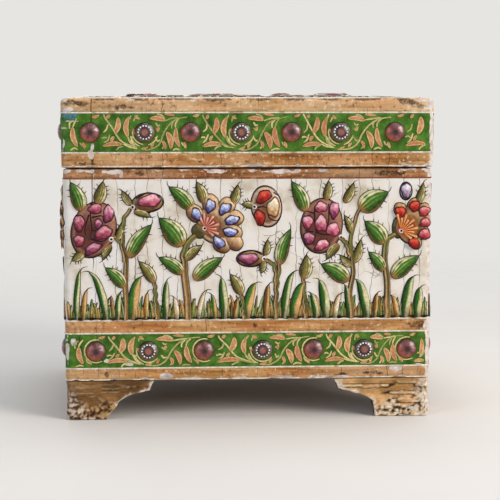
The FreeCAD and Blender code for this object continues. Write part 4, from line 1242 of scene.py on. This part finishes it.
def cream_line(layer, ends, seed, half=LINE_HALF, colour=CREAM_LINE):
    """One raised line between two points, broken where it is rubbed away."""
    (u0, v0), (u1, v1) = ends
    rows = max(int(math.hypot(u1 - u0, v1 - v0) / 0.7), 8)
    along = np.linspace(0, 1, rows)
    spots = np.stack([u0 + (u1 - u0) * along, v0 + (v1 - v0) * along, np.zeros(rows)], axis=1)
    gone = step(0.35, 0.6, lumps(spots, 3.4, seed))[:, None]
    dirt = step(0.0, 0.7, lumps(spots, 2.1, seed + 1))[:, None]
    rubbed = tint(tint(colour, "#a58a68", 0.8 * gone), "#8d7a5c", 0.36 * dirt)
    path = [(u0, v0), ((u0 + u1) / 2, (v0 + v1) / 2), (u1, v1)]
    stroke(layer, path, lambda s: half + 0 * s,
           lambda s, t: np.where(abs(t) > 0.97, SUNK, (0.30 - 0.18 * gone) * (1 - 0.8 * t * t)),
           lambda s, t: tint(rubbed + 0 * t[..., None], "#3a2614", 0.7 * step(0.6, 0.9, abs(t))),
           rows=rows, columns=7)


# The lid's lowest line stays clear of the bevel along its back edge, on which the lid opens
BEVEL_RISE, BEVEL_REACH = 2.9, 2.8
LINE_SHORT = 0.4
case_lines, lid_lines = [], []
for number, side in enumerate(("front", "back", "left", "right")):
    half = CASE_HALF_W if side in ("front", "back") else CASE_HALF_D
    layer = new_layer()
    ends = -half + LINE_SHORT, half - LINE_SHORT
    for row, (v, wide) in enumerate(((CASE_LOW + 0.5, LINE_HALF), (CASE_GREEN_LOW, LINE_HALF),
                                     (CASE_GREEN_HIGH, LINE_HALF),
                                     (PANEL_LOW - FOOT_LINE_DROP, FOOT_LINE_HALF))):
        cream_line(layer, [(u, v) for u in ends], 20 + 5 * number + row, wide)
    cream_line(layer, [(u, PANEL_HIGH) for u in ends], 40 + number, HEAD_LINE_HALF, HEAD_LINE)
    case_lines.append((side, layer))
    half = LID_HALF_W if side in ("front", "back") else LID_HALF_D
    layer = new_layer()
    low_line = LID_LOW + 0.5 + (BEVEL_RISE if side == "back" else 0)
    for row, v in enumerate((low_line, LID_GREEN_LOW, LID_GREEN_HIGH - 0.3)):
        first = LINE_SHORT + (BEVEL_REACH if row == 0 and side == "left" else 0)
        last = LINE_SHORT + (BEVEL_REACH if row == 0 and side == "right" else 0)
        cream_line(layer, ((-half + first, v), (half - last, v)), 50 + 5 * number + row)
    lid_lines.append((side, layer))
layer = new_layer()
for row, edge in enumerate((TOP_GREEN_EDGE, TOP_GOLD_EDGE, TOP_PANEL_EDGE)):
    u, v = LID_HALF_W - edge, LID_HALF_D - edge
    corners = [(-u, -v), (u, -v), (u, v), (-u, v)]
    for number in range(4):
        cream_line(layer, (corners[number], corners[(number + 1) % 4]), 80 + 5 * row + number)
lid_lines.append(("top", layer))
set_on("case_cream_lines", case_lines, CASE_BLOCK, "case")
set_on("lid_cream_lines", lid_lines, LID_BLOCK, "lid")

# Bosses
# Turned wooden buttons glued on the green bands: plain ones in maroon lacquer with a dark
# eye, and dark ones ringed with raised white dots, in turn.
BOSS_R, BOSS_H = 4.1, 2.2
# The white dots: how many, how far out as a share of the radius, and their own radius
DOTS, DOT_RING, DOT_R = 14, 0.62, 0.46


def boss_rise(r, a):
    """A low dome with a rounded shoulder."""
    return np.where(r > 0.985, SUNK, BOSS_H * np.clip(1 - r ** 2.3, 0, 1) ** 0.62 * 0.97)


# Where a button's shoulder is painted pale, a painted highlight: its middle and its half width, in radians
SHEEN_TOWARDS, SHEEN_ARC = 0.55, 0.62


def painted_sheen(r, a, place):
    """A painted highlight: how strongly a button is painted pale and streaky on the shoulder towards the
    right of the box.
    """
    round_it = np.exp(-((np.angle(np.exp(1j * (a - SHEEN_TOWARDS)))) / SHEEN_ARC) ** 2)
    streaky = 0.6 + 0.4 * np.sin(9 * a + 7 * r + place[0])
    return 0.72 * round_it * np.exp(-((r - 0.62) / 0.2) ** 2) * streaky


def plain_boss(layer, place):
    """A maroon button with a dark eye."""

    def colour(r, a):
        # Painted light and shade: the outer lacquer is painted lighter red towards the lower left, as light
        # shining through it, and darker over the top as painted shade
        body = tint("#5e2220", "#a34a34", step(0.3, 0.9, r) * step(-0.3, 0.8, -np.sin(a + 0.9)))
        body = tint(body, "#3a1618", step(0.5, 1.0, r) * step(0.0, 0.9, np.sin(a)))
        streaks = step(0.1, 0.9, np.sin(23 * a + place[0])) * step(0.3, 0.45, r) * (1 - step(0.7, 0.9, r))
        body = tint(body, "#b07a74", 0.4 * streaks)
        body = tint(body, "#080608", 1 - step(0.14, 0.32, r))
        # Painted highlight: a pale lilac streaky patch on the right shoulder
        body = tint(body, "#cdb9be", painted_sheen(r, a, place))
        return tint(body, "#1c0f0a", step(0.93, 0.98, r))

    dome(layer, place, (BOSS_R, BOSS_R), 0.0, boss_rise, colour, rings=14, spokes=40)


def dotted_boss(layer, place):
    """A dark button with a ring of white dots round a red-brown middle."""

    def colour(r, a):
        body = tint("#96584c", "#1c0d0a", step(0.18, 0.44, r))
        body = tint(body, "#6e5440", step(0.68, 0.86, r) * step(-0.9, 0.5, -np.sin(a)))
        # Painted highlight: a pale patch on the right shoulder, outside the ring of dots
        body = tint(body, "#b9b4ac", painted_sheen(r - 0.16, a, place))
        return tint(body, "#1c0f0a", step(0.93, 0.98, r))

    dome(layer, place, (BOSS_R, BOSS_R), 0.0, boss_rise, colour, rings=14, spokes=40)
    level = float(boss_rise(np.array(DOT_RING), 0)) - 0.12
    reach = DOT_RING * BOSS_R
    for number in range(DOTS):
        angle = 2 * math.pi * number / DOTS
        spot = (place[0] + reach * math.cos(angle), place[1] + reach * math.sin(angle))
        dome(layer, spot, (DOT_R, DOT_R), 0.0, lambda r, a: 0.32 * (1 - r * r),
             lambda r, a: tint("#e9e5e2", "#b9b0aa", step(0.6, 1.0, r)), rings=4, spokes=10,
             ground=lambda flat: level + 0 * flat[..., 0])


# Oil lacquer over turned wood: deep colour under a hard wet-looking gloss.
LACQUER_MARK = 1.3
boss_lacquer = brushed_coat("oil_lacquer_on_turned_wood", LACQUER_MARK, (0.6, 1.3), 0.1, 0.5, {
    "Roughness": 0.4, "IOR": 1.5, "Specular IOR Level": 0.1, "Coat Weight": 1.0, "Coat Roughness": 0.3},
    detail=4.0, Roughness=0.6)

LID_BOSS_Z, CASE_BOSS_Z = 116.95, 28.5
LID_BOSS_ROWS = {
    "front": [-63.2, -41.53, -23.27, -3.0, 17.27, 36.93, 59.0],
    "back": [-61.1 + 20.367 * i for i in range(7)],
    "left": [-41.1 + 20.55 * i for i in range(5)],
    "right": [-41.1 + 20.55 * i for i in range(5)],
}
CASE_BOSS_ROWS = {
    "front": [-61.9, -40.77, -18.03, 5.7, 26.63, 47.27, 64.9],
    "back": [-63.4 + 21.133 * i for i in range(7)],
    "left": [-43.4 + 21.7 * i for i in range(5)],
    "right": [-43.4 + 21.7 * i for i in range(5)],
}
for body, rows, height, block in (("case", CASE_BOSS_ROWS, CASE_BOSS_Z, CASE_BLOCK),
                                  ("lid", LID_BOSS_ROWS, LID_BOSS_Z, LID_BLOCK)):
    plain, dotted = [], []
    for side, places in rows.items():
        plain_layer, dotted_layer = new_layer(), new_layer()
        for number, u in enumerate(places):
            if number % 2:
                dotted_boss(dotted_layer, (u, height))
            else:
                plain_boss(plain_layer, (u, height))
        plain.append((side, plain_layer))
        dotted.append((side, dotted_layer))
    set_on(body + "_maroon_bosses", plain, block, body,
           [body + "_plain_bosses"], boss_lacquer)
    set_on(body + "_ringed_bosses", dotted, block, body,
           [body + "_dotted_bosses"], boss_lacquer)

# Vine
# A scrolling vine in raised line on the green bands, drawn with a fine brush: pale yellow stalks
# and peach leaves with yellow outlines. It curls under the dotted bosses, and on the case round
# the plain ones too.
VINE_RISE = 0.13
# VINE_SHADE is painted shade: a dark flank along both sides of every raised line and leaf
VINE_LINE, VINE_LEAF, VINE_EDGE, VINE_SHADE = "#d8ca8a", "#cc9a68", "#dcc088", "#15220a"
VINE_RUBBED = "#7f8f45"


def vine_stalk(layer, path, half=0.56, faint=0.0):
    """A thin raised line of the vine, drawn out at its ends. Faint is how far it is rubbed away."""
    line = tint(VINE_LINE, VINE_RUBBED, faint)
    stroke(layer, path, lambda s: half * (0.42 + 0.58 * np.sin(math.pi * (0.12 + 0.82 * s)) ** 0.8),
           lambda s, t: np.where(abs(t) > 0.97, SUNK, VINE_RISE * (1 - 0.5 * t * t)),
           lambda s, t: tint(line, VINE_SHADE, 0.9 * step(0.5, 0.74, abs(t))), rows=14, columns=9)


def vine_leaf(layer, base, tip, width, bow, rise, faint=0.0):
    """A small pointed leaf of the vine. Faint is how far its outline is rubbed away."""
    fill, edge = tint(VINE_LEAF, "#a4584a", 0.6 * faint), tint(VINE_EDGE, VINE_LEAF, faint)
    base, tip = np.array(base), np.array(tip)
    ahead = tip - base
    middle = (base + tip) / 2 + np.array((ahead[1], -ahead[0])) * bow

    def colour(s, t):
        body = tint(fill, "#b5834f", step(0.0, 0.5, np.sin(9 * s + 3 * t)))
        near_edge = step(0.40, 0.55, abs(t)) + (1 - step(0.0, 0.12, s)) * step(0, 0.5, abs(t))
        return tint(tint(body, edge, near_edge), VINE_SHADE, 0.9 * step(0.68, 0.82, abs(t)))

    stroke(layer, [base, middle, tip],
           lambda s: (0.45 * width + 0.12) * np.clip(s, 0, 1) ** 0.6 * np.clip(1 - s, 0, 1) ** 0.7 / 0.405,
           lambda s, t: np.where(abs(t) > 0.97, SUNK, rise),
           colour, rows=14, columns=13)


# One scroll of the vine, as shares of the way between every other boss and of half the band's
# height: stalks as points, and leaves as base, tip, width in mm and bow
VINE_STALKS = [
    [(0.12, 0.92), (0.135, 0.74), (0.20, 0.20), (0.27, -0.35), (0.335, -0.62), (0.43, -0.80)],
    [(0.345, -0.22), (0.365, -0.50), (0.41, -0.72)],
    [(0.30, -0.62), (0.36, -0.74), (0.43, -0.84)],
    [(0.50, -0.92), (0.58, -0.88), (0.655, -0.60), (0.705, -0.05), (0.775, 0.48), (0.86, 0.72),
     (0.96, 0.80)],
    [(0.835, 0.24), (0.845, 0.50), (0.875, 0.72)],
    [(0.725, 0.62), (0.79, 0.70), (0.87, 0.74)],
    [(0.10, -0.30), (0.125, -0.24), (0.15, -0.30)],
    [(0.235, -0.95), (0.26, -0.80), (0.30, -0.70)],
    [(0.62, 0.20), (0.645, 0.08), (0.66, 0.14)],
    [(0.64, 0.92), (0.68, 0.86), (0.72, 0.70)],
    [(0.40, 0.55), (0.415, 0.80), (0.44, 0.86)],
    [(0.90, -0.50), (0.92, -0.68), (0.95, -0.74)],
    [(0.375, 0.90), (0.355, 0.70), (0.33, 0.55)],
    [(0.385, -0.20), (0.38, -0.45), (0.40, -0.62)],
    [(0.165, 0.45), (0.15, 0.15), (0.12, 0.0)],
    [(0.175, -0.10), (0.155, -0.40), (0.125, -0.55)],
    [(0.625, 0.50), (0.64, 0.36), (0.67, 0.40)],
    [(0.615, -0.25), (0.64, -0.45), (0.665, -0.40)],
    [(0.80, 0.20), (0.80, 0.45), (0.83, 0.62)],
    [(0.80, -0.93), (0.84, -0.84), (0.88, -0.90)],
    [(0.69, -0.90), (0.71, -0.70), (0.70, -0.45)],
]
VINE_LEAVES = [
    ((0.225, -0.10), (0.255, 0.80), 3.2, 0.10), ((0.345, -0.25), (0.36, 0.80), 3.2, -0.12),
    ((0.30, -0.62), (0.11, -0.74), 2.5, 0.08), ((0.735, 0.04), (0.785, -0.86), 3.2, -0.10),
    ((0.835, 0.26), (0.88, -0.78), 3.0, 0.10), ((0.725, 0.62), (0.56, 0.72), 2.7, 0.08),
    ((0.15, 0.70), (0.185, 0.92), 1.5, 0.0), ((0.41, 0.86), (0.46, 0.72), 1.2, 0.1),
    ((0.60, -0.55), (0.57, -0.84), 1.3, 0.1), ((0.93, -0.50), (0.95, -0.86), 1.4, 0.0),
    ((0.66, 0.30), (0.64, 0.02), 1.4, 0.1), ((0.41, -0.10), (0.385, 0.20), 1.2, 0.1),
    ((0.22, -0.20), (0.19, -0.50), 1.5, 0.1),
    ((0.69, -0.45), (0.72, -0.88), 1.6, -0.1), ((0.82, 0.86), (0.72, 0.93), 1.3, 0.05),
    ((0.02, 0.82), (0.09, 0.94), 1.3, 0.1), ((0.47, -0.88), (0.54, -0.76), 1.2, 0.1),
]


def vine_run(places, height, half_band, end, seed, arcs=None):
    """The vine along one band, its scrolls between the places of a row. At the places it curls
    round plain and dotted bosses in turn, in arcs as (first, last, reach), or else puts out sprigs."""
    layer = new_layer()
    dice = random.Random(seed)
    pitch = (places[-1] - places[0]) / (len(places) - 1)
    before = [places[0] - 2 * pitch, places[0] - pitch]
    after = [places[-1] + pitch, places[-1] + 2 * pitch]
    marks = before + list(places) + after
    for first in range(0, len(marks) - 2, 2):
        left, mid, right = marks[first:first + 3]

        def spot(a, b):
            across = left + (mid - left) * a * 2 if a < 0.5 else mid + (right - mid) * (a - 0.5) * 2
            across += dice.uniform(-0.25, 0.25)
            return (across, height + half_band * (b + dice.uniform(-0.03, 0.03)))

        for path in VINE_STALKS:
            drawn = [spot(a, b) for a, b in path]
            if max(abs(u) for u, v in drawn) < end:
                vine_stalk(layer, drawn, faint=dice.uniform(0, 0.8))
        for number, (base, tip, width, bow) in enumerate(VINE_LEAVES):
            ends = spot(*base), spot(*tip)
            if max(abs(u) for u, v in ends) < end:
                vine_leaf(layer, ends[0], ends[1], width * dice.uniform(0.9, 1.1), bow,
                          VINE_RISE + 0.02 * (1 + number % 4), dice.uniform(0, 0.9))
    for number, u in enumerate(places):
        if arcs:
            for first, last, reach in arcs[number % 2]:
                angles = np.radians(np.linspace(first, last, 9))
                arc = np.stack([u + reach * np.cos(angles), height + reach * np.sin(angles)], axis=1)
                vine_stalk(layer, arc, 0.46)
            continue
        way = 1 if number % 2 == 0 else -1
        vine_stalk(layer, [(u - 6.0, height - way * 1.5), (u - 2.0, height + way * 1.2),
                           (u + 2.0, height - way * 1.2), (u + 6.0, height + way * 1.5)])
        for side in (-1, 1):
            base = (u + side * 1.5, height - side * way * 0.6)
            tip = (u + side * 2.6, height - side * way * half_band * 0.8)
            vine_leaf(layer, base, tip, 2.4, 0.12, VINE_RISE + 0.03)
    return layer


def turned(layer, quarters):
    """A layer turned about the middle of its side by quarter turns."""
    for points in layer["points"]:
        for _ in range(quarters):
            points[:, :2] = np.stack([-points[:, 1], points[:, 0]], axis=1)
    return layer


# The vine's curls round the plain and the dotted bosses: first and last angle, and reach in mm
BOSS_ARCS = {
    "case": (((75, 300, 4.75),), ((165, 320, 4.85), (195, 250, 5.9))),
    "lid": ((), ((165, 262, 4.85), (195, 250, 5.9), (285, 345, 5.2))),
}
# Two leaves fill the right end of the case's front band: base, tip and width
FRONT_END_LEAVES = (((70.6, 25.4), (70.9, 32.6), 2.4), ((72.2, 23.3), (67.9, 23.1), 1.9))
BAND_MARGIN = 2.0
TOP_BAND = (TOP_GREEN_EDGE + TOP_GOLD_EDGE) / 2
TOP_BAND_HALF = (TOP_GOLD_EDGE - TOP_GREEN_EDGE) / 2 - 0.5
for body, rows, height, low, high, block, seed in (
        ("case", CASE_BOSS_ROWS, CASE_BOSS_Z, CASE_GREEN_LOW, CASE_GREEN_HIGH, CASE_BLOCK, 31),
        ("lid", LID_BOSS_ROWS, LID_BOSS_Z, LID_GREEN_LOW, LID_GREEN_HIGH, LID_BLOCK, 41)):
    runs = []
    for number, (side, places) in enumerate(rows.items()):
        end = (block[0] if side in ("front", "back") else block[1]) - BAND_MARGIN
        runs.append((side, vine_run(places, height, (high - low) / 2 - 0.5, end, seed + number,
                                    BOSS_ARCS[body])))
    if body == "case":
        for base, tip, width in FRONT_END_LEAVES:
            vine_leaf(runs[0][1], base, tip, width, 0.06, VINE_RISE + 0.03)
    else:
        top_runs = []
        for quarter in range(4):
            long, deep = (LID_HALF_W, LID_HALF_D) if quarter % 2 == 0 else (LID_HALF_D, LID_HALF_W)
            end = long - BAND_MARGIN - (TOP_GREEN_EDGE if quarter % 2 == 0 else TOP_GOLD_EDGE)
            places = np.linspace(-end + 6, end - 6, 7 if quarter % 2 == 0 else 3)
            run = vine_run(places, TOP_BAND - deep, TOP_BAND_HALF, end, seed + 4 + quarter)
            top_runs.append(("top", turned(run, quarter)))
        set_on("lid_top_vine", top_runs, block, body)
    set_on(body + "_vine", runs, block, body)

# Linings
# Thin pads of board wrapped in red cotton velvet, pressed into the case and the lid. The nap
# gives a soft sheen at glancing angles and a short uneven pile.
cotton_velvet, tree, where = new_material("cotton_velvet")
# Real pile is finer; the tufts are drawn about twice as coarse
PILE_PATCH, PILE_TUFT = 14.0, 0.8
patch = noise(tree, where, PILE_PATCH, 4.0)
tuft = noise(tree, where, PILE_TUFT, 2.0)
tone = ramp(tree, reckon(tree, "MULTIPLY_ADD", tuft, 0.5, patch), ((0.55, "#4a0f14"), (0.95, "#7a1f24")))
coat(tree, tone, tuft, 0.25, 0.6, {
    "Roughness": 0.95, "Sheen Weight": 0.5, "Sheen Roughness": 0.4, "Sheen Tint": linear("#e8a8a0"),
    "Specular IOR Level": 0.2})

# Each pad is a cushion in the box of its CAD lining: two plump faces and a wall round their rim
PAD_CELL = 1.6
for node in ("floor_lining", "front_lining", "back_lining", "left_lining", "right_lining", "lid_lining"):
    lo, hi = (np.array(corner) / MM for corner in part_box(node))
    size = hi - lo
    thin = int(np.argmin(size))
    wide = [axis for axis in range(3) if axis != thin]
    counts = [int(size[axis] / PAD_CELL) for axis in wide]
    u = np.linspace(-1, 1, counts[0])[:, None]
    v = np.linspace(-1, 1, counts[1])[None, :]
    from_edge = np.minimum((1 - abs(u)) * size[wide[0]] / 2, (1 - abs(v)) * size[wide[1]] / 2)
    plump = np.sqrt(np.clip(1 - np.clip(1 - from_edge / size[thin], 0, 1) ** 2, 0.0, 1))
    flat = np.stack(np.broadcast_arrays(u * size[wide[0]] / 2, v * size[wide[1]] / 2, 0 * u * v), axis=-1)
    swell = plump * (0.9 + 0.07 * lumps(flat, 16.0, 7)) * size[thin] / 2
    points = np.empty((2,) + swell.shape + (3,))
    for face, way in enumerate((-1, 1)):
        points[face, ..., wide[0]] = (lo + hi)[wide[0]] / 2 + flat[..., 0]
        points[face, ..., wide[1]] = (lo + hi)[wide[1]] / 2 + flat[..., 1]
        points[face, ..., thin] = (lo + hi)[thin] / 2 + way * swell
    number = np.arange(2 * swell.size).reshape(points.shape[:3])
    rim = np.concatenate([np.arange(counts[0]) * counts[1],
                          (counts[0] - 1) * counts[1] + np.arange(1, counts[1]),
                          (np.arange(counts[0] - 1)[::-1]) * counts[1] + counts[1] - 1,
                          np.arange(1, counts[1] - 1)[::-1]])
    sheets = []
    for face in (0, 1):
        n = number[face]
        quads = np.stack([n[:-1, :-1], n[:-1, 1:], n[1:, 1:], n[1:, :-1]], axis=-1).reshape(-1, 4)
        sheets.append(quads if (face == 0) == (thin != 1) else quads[:, ::-1])
    after = np.roll(rim, -1)
    under, over = number[0].ravel(), number[1].ravel()
    wall = np.stack([under[rim], under[after], over[after], over[rim]], axis=-1)
    sheets.append(wall if thin != 1 else wall[:, ::-1])
    body = "lid" if node == "lid_lining" else "case"
    pad = make_piece("velvet_" + node, points.reshape(-1, 3), np.concatenate(sheets), {},
                     cotton_velvet, body, [node])

# Hinges
# Two small butt hinges let in at the back, each with two leaves, a pin and countersunk screws.
# Cast brass gone brown: warm metal in dull and brighter patches.
aged_brass, tree, where = new_material("aged_cast_brass")
TARNISH = 2.8
stain = noise(tree, where, TARNISH, 6.0)
tone = ramp(tree, stain, ((0.35, "#6b5128"), (0.7, "#c39a56")))
dull = ranged(tree, stain, 0.0, 1.0, 0.55, 0.28)
coat(tree, tone, stain, 0.1, 0.4, {"Metallic": 1.0, "Roughness": dull})
for node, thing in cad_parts.items():
    if "hinge" in node:
        for slot in thing.material_slots:
            slot.material = aged_brass
